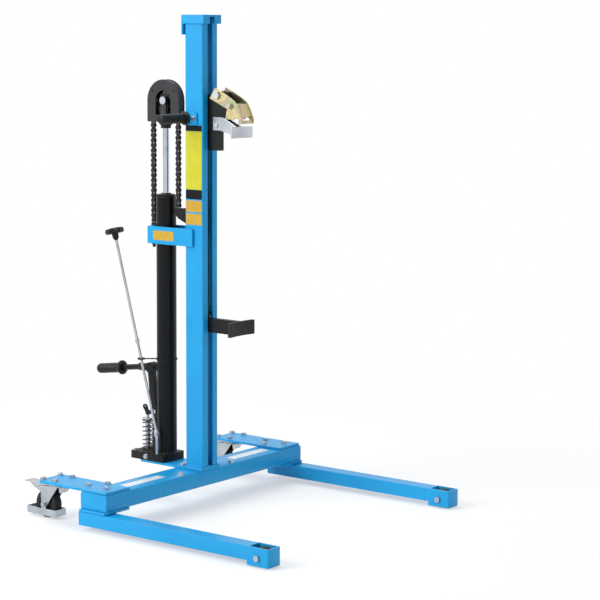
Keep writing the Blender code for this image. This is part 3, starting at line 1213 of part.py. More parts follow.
def jaw_outline():
    """Side plate of the upper jaw: pivot end, back, hook over the rim, and heel."""
    pivot_x, pivot_z = JAW_PIVOT
    rim_out = DRUM_AXIS_X - DRUM_RIM_RADIUS
    rim_in = rim_out + DRUM_RIM_DEPTH
    top = DRUM_RIM_TOP
    notch_out = rim_out - RIM_PLAY
    notch_in = rim_in + RIM_PLAY
    roof = top + 0.009
    toe = top - 0.009
    return [(pivot_x - 0.028, pivot_z - 0.010), (pivot_x - 0.008, pivot_z + 0.022),
            (pivot_x + 0.019, pivot_z + 0.010), (pivot_x + 0.047, pivot_z - 0.004),
            (pivot_x + 0.066, pivot_z - 0.015), (rim_in - 0.006, top + 0.050),
            (rim_in + 0.004, top + 0.032), (rim_in + 0.013, top + 0.013),
            (rim_in + 0.017, top + 0.002), (rim_in + 0.014, toe), (notch_in, toe),
            (notch_in, roof - 0.004), (notch_in - 0.004, roof), (notch_out + 0.003, roof),
            (notch_out, roof - 0.003), (notch_out, top + 0.003),
            (rim_out - 0.036, top + 0.004), (rim_out - 0.029, top + 0.035),
            (rim_out - 0.055, top + 0.046)]


def make_upper_jaw(jaw, yellow_zinc):
    """Two hooked side plates joined by a bridge, a toe bar and a tie bolt."""
    inner = JAW_PLATE_INNER
    outer = inner + JAW_PLATE
    plates = [prism(jaw_outline(), "Y", way * inner, way * outer) for way in (-1, 1)]
    rim_in = DRUM_AXIS_X - DRUM_RIM_RADIUS + DRUM_RIM_DEPTH
    top = DRUM_RIM_TOP
    overlap = inner + JAW_PLATE / 2
    bridge = prism([(rim_in - 0.008, top + 0.050), (rim_in + 0.002, top + 0.032),
                    (rim_in + 0.011, top + 0.013), (rim_in + 0.011 - JAW_BRIDGE, top + 0.011),
                    (rim_in + 0.002 - JAW_BRIDGE, top + 0.030),
                    (rim_in - 0.008 - JAW_BRIDGE, top + 0.048)], "Y", -overlap, overlap)
    toe = block((rim_in + 0.0055, rim_in + 0.0135), (-overlap, overlap),
                (top - 0.0085, top + 0.0010))
    tie = disc("Y", JAW_TIE[0], JAW_TIE[1], JAW_TIE_RADIUS, -outer - 0.002, outer + 0.002, BOLT_ROUND)
    heads = [disc("Y", JAW_TIE[0], JAW_TIE[1], 1.5 * JAW_TIE_RADIUS, way * (outer - SEAT),
                  way * (outer + 0.005), 6) for way in (-1, 1)]
    hole = disc("Y", JAW_PIVOT[0], JAW_PIVOT[1], JAW_PIN_RADIUS + RUN, -0.05, 0.05)
    body = cut(fuse(plates[0], plates[1], bridge, toe, tie, *heads), hole)
    piece("upper_jaw", body, yellow_zinc, jaw)


def make_jaw_pivot_pin(carriage, zinc):
    """Bolt that the upper jaw swings on."""
    reach = JAW_PLATE_INNER + JAW_PLATE + SEAT
    head = JAW_PIN_HEAD
    radius = JAW_PIN_HEAD_RADIUS
    shaft = disc("Y", JAW_PIVOT[0], JAW_PIVOT[1], JAW_PIN_RADIUS, -reach - head / 2,
                 reach + head / 2)
    ends = [disc("Y", JAW_PIVOT[0], JAW_PIVOT[1], radius, way * reach, way * (reach + head), 6)
            for way in (-1, 1)]
    piece("jaw_pivot_pin", fuse(shaft, *ends), zinc, carriage)


def drum_sector(inner, outer, half):
    """Strip round the drum between two radii, seen from above."""
    spread_in = atan2(half, inner) * 180 / pi
    spread_out = atan2(half, outer) * 180 / pi
    return (arc(DRUM_AXIS_X, 0, inner, 180 - spread_in, 180 + spread_in, 8)
            + arc(DRUM_AXIS_X, 0, outer, 180 + spread_out, 180 - spread_out, 8))


def make_lower_jaw(carriage, zinc):
    """Two cheeks astride the blade that carry a curved plate below the rim."""
    inner = LOWER_JAW_CHEEK_INNER
    outer = inner + LOWER_JAW_CHEEK
    face_in = DRUM_BODY_RADIUS + BODY_CLEARANCE
    face_out = face_in + LOWER_JAW_FACE
    front = DRUM_AXIS_X - face_out + LOWER_JAW_FACE / 2
    outline = [(LOWER_JAW_REAR, LOWER_JAW_BOTTOM), (BLADE_REACH + 0.004, LOWER_JAW_BOTTOM),
               (front, LOWER_JAW_FACE_BOTTOM + 0.004), (front, LOWER_JAW_FACE_TOP - 0.004),
               (BLADE_REACH + 0.016, LOWER_JAW_TOP), (LOWER_JAW_REAR, LOWER_JAW_TOP)]
    cheeks = [prism(outline, "Y", way * inner, way * outer) for way in (-1, 1)]
    face = prism(drum_sector(face_in, face_out, LOWER_JAW_FACE_HALF), "Z",
                 LOWER_JAW_FACE_BOTTOM, LOWER_JAW_FACE_TOP)
    radius = LOWER_JAW_BOLT_RADIUS
    bolt = disc("Y", LOWER_JAW_BOLT[0], LOWER_JAW_BOLT[1], radius, -outer - 0.002,
                outer + 0.002, BOLT_ROUND)
    heads = [disc("Y", LOWER_JAW_BOLT[0], LOWER_JAW_BOLT[1], 1.7 * radius,
                  way * (outer - SEAT), way * (outer + 0.005), 6) for way in (-1, 1)]
    piece("lower_jaw", fuse(face, *cheeks, bolt, *heads), zinc, carriage)


def make_drum_rest_pad(carriage, rubber):
    """Curved pad that the drum's side leans on."""
    inner = DRUM_BODY_RADIUS + BODY_CLEARANCE
    pad = prism(drum_sector(inner, inner + REST_PAD_THICKNESS, REST_PAD_HALF), "Z",
                CARRIAGE_BOTTOM, CARRIAGE_BOTTOM + REST_HEIGHT)
    piece("drum_rest_pad", pad, rubber, carriage)


def make_chassis(root, blue, zinc, rubber):
    """Beam, legs, plates and everything that rolls on the floor."""
    make_cross_beam(root, blue)
    make_pump_shelf(root, blue)
    for name, side in (("left", 1), ("right", -1)):
        make_leg(root, blue, side, name)
        make_leg_axle(root, zinc, side, name)
        make_leg_roller(root, rubber, side, name)
        make_packer_plate(root, blue, side, name)
        make_caster_plate(root, blue, side, name)
        make_caster(root, zinc, rubber, side, name)


def make_mast(root, blue, black):
    """Mast channels, cap, stay bracket and push handles."""
    make_mast_cap(root, blue)
    make_stay_bracket(root, blue)
    for name, side in (("left", 1), ("right", -1)):
        make_mast_channel(root, blue, side, name)
        make_handle(root, blue, black, side, name)


def make_pump(root, black, zinc, steel):
    """Pump base, cylinder, foot lever and lowering control."""
    pivot_x, pivot_z = LEVER_PIVOT
    lever = carrier("pump_lever_axis", (pivot_x, 0, pivot_z), root)
    plunger = carrier("pump_plunger_axis", (PUMP_X, 0, SPRING_TOP), root)
    spindle = carrier("release_spindle_axis", knuckle(), root)
    rod = carrier("release_rod_axis", knuckle(), root)
    make_pump_block(root, black)
    make_cylinder(root, black)
    make_gland_nut(root, black)
    make_pump_spring(root, steel)
    make_pump_plunger(plunger, zinc)
    make_pump_lever(lever, black)
    make_lever_pin(root, zinc)
    make_pedal_grip(lever, black)
    make_release_spindle(spindle, zinc)
    make_release_rod(rod, zinc)
    make_release_knob(rod, black)
    make_rod_guide(root, black)


def make_head(root, ram, black, zinc, chrome, steel):
    """Ram, chain wheel with its yoke and guard, and the lifting chain."""
    wheel = carrier("chain_wheel_axis", (JACK_X, 0, HEAD_Z), ram)
    make_ram_rod(ram, chrome)
    make_chain_yoke(ram, black)
    make_wheel_pin(ram, zinc)
    make_chain_guard(ram, black)
    make_chain_wheel(wheel, steel)
    make_chain_anchor(root, steel)
    make_chain(root, ram, steel)


def make_carriage(ram, black, zinc, yellow_zinc, steel, rubber):
    """Carriage with its rollers and the rim clamp."""
    carriage = carrier("carriage_axis", (MAST_MID_X, 0, MAST_ROLLER_HIGH), ram)
    jaw = carrier("upper_jaw_axis", (JAW_PIVOT[0], 0, JAW_PIVOT[1]), carriage)
    make_carriage_frame(carriage, black)
    make_mast_rollers(carriage, steel)
    make_upper_jaw(jaw, yellow_zinc)
    make_jaw_pivot_pin(carriage, zinc)
    make_lower_jaw(carriage, zinc)
    make_drum_rest_pad(carriage, rubber)


def main():
    """Build the drum lifter in an emptied scene."""
    for old in list(bpy.data.objects):
        bpy.data.objects.remove(old)
    blue = paint("blue_paint", (0.02, 0.30, 0.75), 0.35)
    black = paint("black_paint", (0.012, 0.012, 0.014), 0.4)
    rubber = paint("black_rubber", (0.010, 0.010, 0.010), 0.75)
    zinc = paint("zinc_plate", (0.55, 0.57, 0.60), 0.35, 1.0)
    yellow_zinc = paint("yellow_zinc", (0.60, 0.52, 0.34), 0.35, 1.0)
    chrome = paint("chrome", (0.75, 0.76, 0.78), 0.08, 1.0)
    steel = paint("dark_steel", (0.10, 0.10, 0.11), 0.45, 1.0)
    root = carrier("drum_lifter")
    ram = carrier("ram_axis", (JACK_X, 0, HEAD_Z), root)
    make_chassis(root, blue, zinc, rubber)
    make_mast(root, blue, black)
    make_pump(root, black, zinc, steel)
    make_head(root, ram, black, zinc, chrome, steel)
    make_carriage(ram, black, zinc, yellow_zinc, steel, rubber)
    root.location.x = SHIFT_X


main()
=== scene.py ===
"""Studio scene of a foot-pumped hydraulic drum lifter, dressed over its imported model.

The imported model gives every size, place and joint. This script rounds the sheet-metal edges, turns
the round pieces finely, links the roller chain and gives each piece a procedural finish.
"""

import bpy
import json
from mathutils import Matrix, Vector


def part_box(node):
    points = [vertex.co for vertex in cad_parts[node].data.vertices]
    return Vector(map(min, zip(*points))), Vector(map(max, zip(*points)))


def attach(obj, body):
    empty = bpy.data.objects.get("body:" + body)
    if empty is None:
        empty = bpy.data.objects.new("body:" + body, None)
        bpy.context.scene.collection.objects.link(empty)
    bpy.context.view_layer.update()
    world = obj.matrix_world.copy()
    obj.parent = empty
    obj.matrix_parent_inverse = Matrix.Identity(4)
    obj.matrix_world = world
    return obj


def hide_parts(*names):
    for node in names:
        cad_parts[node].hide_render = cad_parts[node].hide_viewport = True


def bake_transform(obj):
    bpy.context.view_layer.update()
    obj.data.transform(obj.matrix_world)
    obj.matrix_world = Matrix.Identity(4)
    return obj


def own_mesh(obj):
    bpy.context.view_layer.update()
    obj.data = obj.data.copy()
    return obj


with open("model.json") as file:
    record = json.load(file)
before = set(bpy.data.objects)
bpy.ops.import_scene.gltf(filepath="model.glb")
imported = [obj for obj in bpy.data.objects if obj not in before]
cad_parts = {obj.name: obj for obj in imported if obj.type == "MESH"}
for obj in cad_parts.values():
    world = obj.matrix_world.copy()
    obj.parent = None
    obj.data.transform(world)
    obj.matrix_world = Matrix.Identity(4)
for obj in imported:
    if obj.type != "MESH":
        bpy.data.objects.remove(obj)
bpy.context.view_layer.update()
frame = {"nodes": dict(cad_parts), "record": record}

import json
import logging
from collections.abc import Sequence
from dataclasses import dataclass, field
from enum import Enum
from math import ceil, cos, pi, radians, sin

import bmesh
import bpy
from mathutils import Matrix, Vector

log = logging.getLogger("drum_lifter")

Place = tuple[float, float, float]
Seat = tuple[Place, Place]
Profile = Sequence[tuple[float, float]]

# Lengths are in metres, apart from the textures' sizes in the finishes, which are in millimetres.
SIDES = (("left", 1), ("right", -1))
UP = (0, 0, 1)
TURNED_STEPS = 72
# Packed points nearer than this in metres are merged, and faces turned less than this in degrees
# become one flat.
SAME_POINT = 1e-6
FLAT_WITHIN = 0.8
# Edges sharper than so many degrees are shaded crisp, and are rounded over.
SMOOTH_EDGE = 32
ROUNDED_EDGE = 34
# Moulded grips and thin wire are smooth over larger angles.
SMOOTH_MOULDED = 50
SMOOTH_WIRE = 60
# Length of a cross product below which two directions count as parallel.
PARALLEL = 1e-4
# Levels between which nearly all of Blender's noise lies.
NOISE_LOW, NOISE_HIGH = 0.3, 0.7
# Octaves of the noise in relief and handling marks, and how many grains wide the marks are.
TEXTURE_DETAIL = 1.5
MARK_GRAINS = 9
# Seed of the angles at which the wrench left the bolts.
PLAY_SEED = 7
# Thickness of a vinyl film, and how far it is set off its face so that the two never coincide.
FILM = 0.0003
FILM_OFFSET = 0.00005


class Slot(str, Enum):
    """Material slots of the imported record."""

    BLUE = "blue_paint"
    BLACK = "black_paint"
    PLASTIC = "black_plastic"
    RUBBER = "black_rubber"
    ZINC = "zinc_plate"
    YELLOW = "yellow_zinc"
    CHROME = "chrome"
    STEEL = "dark_steel"


# Node trees

def linear(colour: str) -> tuple[float, float, float, float]:
    """Scene-linear RGBA of an sRGB hex colour such as "#2a96dc"."""
    parts = [int(colour[k:k + 2], 16) / 255 for k in (1, 3, 5)]
    return tuple(c / 12.92 if c <= 0.04045 else ((c + 0.055) / 1.055) ** 2.4 for c in parts) + (1.0,)


def add_node(tree: bpy.types.NodeTree, kind: str, inputs: dict | None = None, **settings) -> bpy.types.Node:
    """Adds a node, sets it up and feeds its sockets.

    Args:
        tree: Tree that takes the node.
        kind: Blender's type name of the node.
        inputs: Socket name or number to a value, or to the socket that feeds it.
        settings: The node's own properties.

    Returns:
        The new node.
    """
    node = tree.nodes.new(kind)
    for key, value in settings.items():
        setattr(node, key, value)
    for key, value in (inputs or {}).items():
        if isinstance(value, bpy.types.NodeSocket):
            tree.links.new(value, node.inputs[key])
        else:
            node.inputs[key].default_value = value
    return node


def per_mm(size: float) -> float:
    """Texture scale whose features are about size millimetres wide."""
    return 1000.0 / size


# Finishes

@dataclass(frozen=True)
class Finish:
    """A surface made by one process, as a procedural material in object coordinates.

    Attributes:
        name: The real material and how it was made.
        slot: The record's slot it dresses.
        colour: Main sRGB colour.
        shade: Second sRGB colour that the main one drifts to.
        roughness: Middle roughness.
        spread: How far roughness swings about its middle.
        metallic: 1 for bare metal, 0 for paint, plastic and rubber.
        mottle: Width in mm of the drifts in colour.
        grain: Width in mm of the surface texture.
        depth: Height in mm of that texture.
        stretch: Squeeze of the texture along X, Y and Z; below 1 drags it out.
        coat: Weight of a clear, smooth top layer.
        coat_roughness: Roughness of that layer.
        flecks: Octaves of finer drift inside each patch.
        swirl: How far the patches are drawn out into curls.
        specular: How strongly paint, plastic or rubber mirrors; 0.5 is full gloss.
    """

    name: str
    slot: Slot
    colour: str
    shade: str
    roughness: float
    spread: float = 0.05
    metallic: float = 0.0
    mottle: float = 60.0
    grain: float = 1.5
    depth: float = 0.01
    stretch: tuple[float, float, float] = (1.0, 1.0, 1.0)
    coat: float = 0.0
    coat_roughness: float = 0.12
    flecks: float = 3.0
    swirl: float = 0.0
    specular: float = 0.5

    def material(self) -> bpy.types.Material:
        """Makes the finish's material, once.

        Returns:
            The material, which all pieces of this finish share.
        """
        known = bpy.data.materials.get(self.name)
        if known:
            return known
        made = bpy.data.materials.new(self.name)
        made.use_nodes = True
        tree = made.node_tree
        tree.nodes.clear()
        place = add_node(tree, "ShaderNodeTexCoord").outputs["Object"]
        mapping = add_node(tree, "ShaderNodeMapping", {"Vector": place, "Scale": self.stretch})
        drawn = mapping.outputs["Vector"]
        shader = add_node(tree, "ShaderNodeBsdfPrincipled", {
            "Base Color": self.tint(tree, place),
            "Roughness": self.gloss(tree, drawn),
            "Metallic": self.metallic,
            "Specular IOR Level": self.specular,
            "Coat Weight": self.coat,
            "Coat Roughness": self.coat_roughness,
            "Normal": self.relief(tree, drawn)})
        out = add_node(tree, "ShaderNodeOutputMaterial")
        tree.links.new(shader.outputs["BSDF"], out.inputs["Surface"])
        made.diffuse_color = linear(self.colour)
        made.roughness = self.roughness
        made.metallic = self.metallic
        return made

    def tones(self) -> list[tuple[float, str]]:
        """Levels of the noise and the colour that each shows."""
        return [(0.35, self.colour), (0.68, self.shade)]

    def tint(self, tree: bpy.types.NodeTree, place: bpy.types.NodeSocket) -> bpy.types.NodeSocket:
        """Colour that drifts through the finish's tones in soft patches.

        Args:
            tree: The material's tree.
            place: Where on the object a point lies.

        Returns:
            The socket that gives the colour.
        """
        drift = add_node(tree, "ShaderNodeTexNoise", {
            "Vector": place, "Scale": per_mm(self.mottle), "Detail": self.flecks, "Distortion": self.swirl})
        ramp = add_node(tree, "ShaderNodeValToRGB", {"Fac": drift.outputs["Fac"]})
        stops = ramp.color_ramp.elements
        tones = self.tones()
        while len(stops) < len(tones):
            stops.new(0.5)
        for k, (level, colour) in enumerate(tones):
            stops[k].position = level
            stops[k].color = linear(colour)
        return ramp.outputs["Color"]

    def gloss(self, tree: bpy.types.NodeTree, place: bpy.types.NodeSocket) -> bpy.types.NodeSocket:
        """Roughness with handling marks several grains wide.

        Args:
            tree: The material's tree.
            place: Where on the object a point lies, after the texture's squeeze.

        Returns:
            The socket that gives the roughness.
        """
        marks = add_node(tree, "ShaderNodeTexNoise", {
            "Vector": place, "Scale": per_mm(MARK_GRAINS * self.grain), "Detail": TEXTURE_DETAIL})
        swing = add_node(tree, "ShaderNodeMapRange", {
            "Value": marks.outputs["Fac"], "From Min": NOISE_LOW, "From Max": NOISE_HIGH,
            "To Min": self.roughness - self.spread, "To Max": self.roughness + self.spread})
        return swing.outputs["Result"]

    def relief(self, tree: bpy.types.NodeTree, place: bpy.types.NodeSocket) -> bpy.types.NodeSocket:
        """Bump as high as the texture.

        Args:
            tree: The material's tree.
            place: Where on the object a point lies, after the texture's squeeze.

        Returns:
            The socket that gives the normal.
        """
        grains = add_node(tree, "ShaderNodeTexNoise", {
            "Vector": place, "Scale": per_mm(self.grain), "Detail": TEXTURE_DETAIL})
        bump = add_node(tree, "ShaderNodeBump", {
            "Height": grains.outputs["Fac"], "Strength": 1.0, "Distance": self.depth / 1000})
        return bump.outputs["Normal"]


@dataclass(frozen=True)
class PassivatedZinc(Finish):
    """Yellow chromate over zinc: thin-film bands of straw, rose and pale green."""

    bands: tuple[str, ...] = ("#b5a67a", "#c2b98b", "#b39a8a", "#a3ac87", "#bbac7b")

    def tones(self) -> list[tuple[float, str]]:
        """The film's interference colours at even steps of the noise."""
        step = (NOISE_HIGH - NOISE_LOW) / (len(self.bands) - 1)
        return [(NOISE_LOW + step * k, band) for k, band in enumerate(self.bands)]


# Powder coat: semi-gloss, with the fine orange peel that a baked coat levels out to.
SKY_BLUE = Finish("polyester powder coat, sky blue", Slot.BLUE, "#1e9fda", "#1a98d3", 0.34, 0.04,
                  mottle=180, grain=2.2, depth=0.010, specular=0.25)
# Sprayed enamel: satin black that greys softly where light grazes it.
SATIN_BLACK = Finish("sprayed satin enamel, black", Slot.BLACK, "#111214", "#18191b", 0.4, 0.05,
                     mottle=70, grain=1.6, depth=0.012, specular=0.2)
# The same enamel with a lighter colour, which is painted light: it stands in for the light that greys the
# flat sides of the chain guard and its lips.
BLACK_WITH_PAINTED_LIGHT = Finish("sprayed satin enamel, black, lightened as painted light", Slot.BLACK, "#26272a", "#2d2e31", 0.46,
                     0.05, mottle=70, grain=1.6, depth=0.012, specular=0.3)
# Sand-cast iron under enamel: pebbled skin that breaks up the highlight.
CAST_BLACK = Finish("enamelled grey iron casting, black", Slot.BLACK, "#131416", "#1d1e20", 0.5, 0.08,
                    mottle=25, grain=2.5, depth=0.12, specular=0.2)
# Honed and enamelled tube: long soft highlight down the cylinder.
TUBE_BLACK = Finish("drawn tube under gloss enamel, black", Slot.BLACK, "#08090a", "#0c0d0f", 0.3, 0.03,
                    mottle=160, grain=3.0, depth=0.008, stretch=(1, 1, 0.15), specular=0.18)
# Barrel zinc: bright and slightly blue, with faint cloudy patches. Its real grain, a tenth of a
# millimetre, is too fine to show and is drawn as 6 mm ripples.
BRIGHT_ZINC = Finish("bright zinc electroplate over pressed steel", Slot.ZINC, "#bac0c6", "#a9afb6", 0.3,
                     0.03, 1.0, mottle=45, grain=6.0, depth=0.004, flecks=1.0)
# Yellow chromate: straw gold with rose and green film colours, over the same coarsened grain.
YELLOW_ZINC = PassivatedZinc("yellow chromate over zinc plate", Slot.YELLOW, "#c9b27c", "#c7a59c", 0.3,
                             0.03, 1.0, mottle=75, grain=6.0, depth=0.004, flecks=0.6, swirl=0.8)
# Hard chrome, centreless ground: mirror bright with hair-fine rings, drawn a little wider to show.
HARD_CHROME = Finish("hard chrome plate, ground", Slot.CHROME, "#c4c9ce", "#b4babf", 0.08, 0.03, 1.0,
                     mottle=40, grain=0.5, depth=0.001, stretch=(1, 1, 6))
# Oiled roller chain: near-black steel whose worn flats catch the light.
OILED_STEEL = Finish("oiled hardened steel, blackened", Slot.STEEL, "#2b2b2c", "#48484a", 0.3, 0.1, 1.0,
                     mottle=5, grain=0.7, depth=0.010)
# Spring wire: dark oil-tempered skin with brighter rubbed coils.
SPRING_STEEL = Finish("oil-tempered spring wire", Slot.STEEL, "#6d6f72", "#3c3c3e", 0.3, 0.08, 1.0,
                      mottle=9, grain=0.6, depth=0.01, stretch=(1, 1, 2))
# Ground bearing steel: bright rims of the mast rollers.
BEARING_STEEL = Finish("ground bearing steel", Slot.STEEL, "#8f9296", "#7b7e82", 0.25, 0.06, 1.0,
                       mottle=10, grain=0.5, depth=0.003)
# Nylon from a spark-eroded mould: dull, even, fine pebble.
NYLON = Finish("glass-filled nylon, moulded black", Slot.PLASTIC, "#17181a", "#1e1f21", 0.46, 0.06,
               mottle=30, grain=0.45, depth=0.02, specular=0.25)
# Soft PVC grip: a little shinier, dip-moulded skin.
SOFT_PVC = Finish("soft PVC, dip-moulded black", Slot.PLASTIC, "#121315", "#1a1b1d", 0.4, 0.06,
                  mottle=35, grain=0.8, depth=0.015, specular=0.25)
# Solid rubber: matt, with a dusty bloom where it rolls.
TYRE_RUBBER = Finish("solid rubber, press-cured", Slot.RUBBER, "#1a1a1b", "#2a2928", 0.66, 0.08,
                     mottle=12, grain=0.6, depth=0.04, specular=0.3)
# Printed vinyl: flat colour fields under a gloss film, left bare of any print.
YELLOW_VINYL = Finish("calendered vinyl film, yellow", Slot.BLUE, "#c9c62b", "#c2be27", 0.28, 0.03,
                      mottle=40, grain=3.0, depth=0.006, coat=0.1, specular=0.3)
ORANGE_VINYL = Finish("calendered vinyl film, amber", Slot.BLUE, "#c8a136", "#c1992f", 0.28, 0.03,
                      mottle=40, grain=3.0, depth=0.006, coat=0.1, specular=0.3)
BLACK_VINYL = Finish("calendered vinyl film, black", Slot.BLUE, "#0c0d0e", "#111214", 0.32, 0.03,
                     mottle=40, grain=3.0, depth=0.006, specular=0.15)
PALE_VINYL = Finish("calendered vinyl film, pale", Slot.BLUE, "#dfe8ee", "#d5e0e8", 0.3, 0.03,
                    mottle=40, grain=3.0, depth=0.006, coat=0.3)


# Mesh tools

def round_turns(steps: int) -> list[float]:
    """Angles in radians of even steps round a circle."""
    return [2 * pi * k / steps for k in range(steps)]


def skin(made: bmesh.types.BMesh, loops: list[list[bmesh.types.BMVert]], bored: bool = False) -> None:
    """Lays faces between neighbouring loops of points.

    Args:
        made: Mesh that holds the points.
        loops: Loops of the same number of points, or of one point where they close to a pole.
        bored: Joins the last loop to the first.
    """
    steps = max(len(loop) for loop in loops)
    for low, high in list(zip(loops, loops[1:])) + ([(loops[-1], loops[0])] if bored else []):
        for k in range(steps):
            n = (k + 1) % steps
            corners = dict.fromkeys((low[k % len(low)], low[n % len(low)],
                                     high[n % len(high)], high[k % len(high)]))
            if len(corners) > 2:
                made.faces.new(list(corners))


def turned(profile: Profile, bored: bool = False, steps: int = TURNED_STEPS) -> bmesh.types.BMesh:
    """Turns a profile round Z.

    Args:
        profile: (radius, height) points from one end to the other.
        bored: Joins the last point to the first, for a piece with a bore.
        steps: Faces round the axis.

    Returns:
        A closed mesh.
    """
    made = bmesh.new()
    skin(made, [[made.verts.new((radius * cos(turn), radius * sin(turn), height))
                 for turn in round_turns(steps if radius else 1)] for radius, height in profile], bored)
    bmesh.ops.recalc_face_normals(made, faces=made.faces)
    return made


def ribs(radius: float, depth: float, low: float, high: float, count: int) -> Profile:
    """Profile points of moulded finger ribs, no prouder than radius.

    Args:
        radius: Radius of the ribs' tops.
        depth: How deep the valleys between them lie.
        low: Height of the first valley.
        high: Height of the last rib's end.
        count: Number of ribs.

    Returns:
        (radius, height) points in rising order.
    """
    pitch = (high - low) / count
    shape = ((radius - depth, 0), (radius - depth, 0.25), (radius, 0.4), (radius, 0.85))
    return [(out, low + k * pitch + share * pitch) for k in range(count) for out, share in shape]


def slab(outline: Profile, low: float, high: float) -> bmesh.types.BMesh:
    """Straight solid over an outline.

    Args:
        outline: Its corners in X and Y, in order.
        low: Height of its foot.
        high: Height of its top.

    Returns:
        A closed mesh.
    """
    made = bmesh.new()
    floor = [made.verts.new((x, y, low)) for x, y in outline]
    roof = [made.verts.new((x, y, high)) for x, y in outline]
    made.faces.new(floor)
    made.faces.new(roof)
    for k in range(len(outline)):
        n = (k + 1) % len(outline)
        made.faces.new((floor[k], floor[n], roof[n], roof[k]))
    bmesh.ops.recalc_face_normals(made, faces=made.faces)
    return made


def tube(path: list[Vector], radii: list[float], sides: int = 12) -> bmesh.types.BMesh:
    """Round tube along a path, closed at both ends.

    Args:
        path: Points of its middle line.
        radii: Its radius at each point.
        sides: Faces round it.

    Returns:
        A closed mesh.
    """
    made = bmesh.new()
    loops = []
    up = Vector((0, 1, 0))
    for k, point in enumerate(path):
        ahead = (path[min(k + 1, len(path) - 1)] - path[max(k - 1, 0)]).normalized()
        across = ahead.cross(up)
        if across.length < PARALLEL:
            across = ahead.cross(Vector((1, 0, 0)))
        across.normalize()
        up = across.cross(ahead).normalized()
        loops.append([made.verts.new(point + radii[k] * (cos(turn) * across + sin(turn) * up))
                      for turn in round_turns(sides)])
    skin(made, loops)
    made.faces.new(loops[0])
    made.faces.new(loops[-1])
    bmesh.ops.recalc_face_normals(made, faces=made.faces)
    return made


def weld(start: Vector, end: Vector, radius: float) -> bmesh.types.BMesh:
    """Weld bead whose pool ripples every couple of millimetres.

    Args:
        start: Middle of one end.
        end: Middle of the other end.
        radius: Its greatest radius.

    Returns:
        A closed mesh.
    """
    step, steps_per_ripple, ripple, tapered = 0.0009, 3, 0.14, 0.55
    count = max(8, ceil((end - start).length / step))
    path = [start.lerp(end, k / count) for k in range(count + 1)]
    radii = [radius * (1 - ripple + ripple * abs(sin(pi * k / steps_per_ripple))) for k in range(count + 1)]
    radii[0] *= tapered
    radii[-1] *= tapered
    return tube(path, radii, sides=10)


def joined(*parts: bmesh.types.BMesh) -> bmesh.types.BMesh:
    """One mesh of several separate closed shells.

    Args:
        parts: The shells' meshes, which are used up.

    Returns:
        The mesh that holds them all.
    """
    whole = bmesh.new()
    for part in parts:
        spare = bpy.data.meshes.new("spare")
        part.to_mesh(spare)
        part.free()
        whole.from_mesh(spare)
        bpy.data.meshes.remove(spare)
    return whole


def stood(mesh: bmesh.types.BMesh, foot: Place, toward: Place = UP) -> bmesh.types.BMesh:
    """Moves a mesh made about Z to its place.

    Args:
        mesh: The mesh, which is changed.
        foot: Where its origin comes to stand.
        toward: Direction that its Z axis points in.

    Returns:
        The same mesh.
    """
    turn = Vector(toward).to_track_quat("Z", "Y").to_matrix().to_4x4()
    mesh.transform(Matrix.Translation(foot) @ turn)
    return mesh


def facing(out: Place) -> Vector:
    """Euler turn in radians that points a template's Z axis outwards."""
    return Vector(Vector(out).to_track_quat("Z", "Y").to_euler())


def hexagon(radius: float) -> Profile:
    """Corners of a bolt head."""
    return [(radius * cos(pi * k / 3), radius * sin(pi * k / 3)) for k in range(6)]


def bolt_head(size: float) -> bmesh.types.BMesh:
    """Hexagon head on a washer, with its chamfered crown.

    Args:
        size: Diameter of its thread, which its proportions follow.

    Returns:
        Its closed shells, standing on z = 0.
    """
    rim, thick, corner, chamfer = 1.05 * size, 0.2 * size, 0.98 * size, 0.86
    washer = turned([(0, 0), (rim, 0), (rim, thick), (0, thick)], steps=28)
    head = slab(hexagon(corner), thick, thick + 0.55 * size)
    crown = slab(hexagon(chamfer * corner), thick + 0.549 * size, thick + 0.64 * size)
    return joined(washer, head, crown)


def place_piece(name: str, mesh: bmesh.types.BMesh | bpy.types.Mesh, finish: Finish, body: str,
                bevel: float = 0.0006, replaces: tuple[str, ...] = (),
                smooth: float = SMOOTH_EDGE) -> bpy.types.Object:
    """Makes the object of one finished piece and lets it ride.

    Args:
        name: The piece's name.
        mesh: Its mesh, in place.
        finish: Its surface.
        body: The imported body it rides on.
        bevel: Width in metres that its sharp edges are rounded over, 0 for none.
        replaces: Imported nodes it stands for.
        smooth: Angle in degrees below which two faces shade as one.

    Returns:
        The object, at the origin.
    """
    if isinstance(mesh, bmesh.types.BMesh):
        data = bpy.data.meshes.new(name)
        mesh.to_mesh(data)
        mesh.free()
    else:
        data = mesh
        data.name = name
    data.shade_smooth()
    data.set_sharp_from_angle(angle=radians(smooth))
    data.materials.clear()
    data.materials.append(finish.material())
    made = bpy.data.objects.new(name, data)
    bpy.context.scene.collection.objects.link(made)
    if bevel:
        edge = made.modifiers.new("rounded_edges", "BEVEL")
        edge.width = bevel
        edge.segments = 2
        edge.limit_method = "ANGLE"
        edge.angle_limit = radians(ROUNDED_EDGE)
        edge.use_clamp_overlap = True
        edge.harden_normals = True
    if replaces:
        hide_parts(*replaces)
    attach(made, body)
    log.info("%s: %d faces on %s", name, len(data.polygons), body)
    return made


def dressed(node: str, finish: Finish, bevel: float = 0.0008) -> bpy.types.Object:
    """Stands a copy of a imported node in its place, with merged faces and rounded edges.

    Args:
        node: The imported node.
        finish: Its surface.
        bevel: Width of the rounded edges in metres.

    Returns:
        The copy's object, riding on the node's own body.
    """
    mesh = bmesh.new()
    mesh.from_mesh(frame["nodes"][node].data)
    bmesh.ops.remove_doubles(mesh, verts=mesh.verts, dist=SAME_POINT)
    bmesh.ops.dissolve_limit(mesh, angle_limit=radians(FLAT_WITHIN), verts=mesh.verts, edges=mesh.edges)
    bmesh.ops.recalc_face_normals(mesh, faces=mesh.faces)
    return place_piece(f"{node}_dressed", mesh, finish, body_of(node), bevel, (node,))


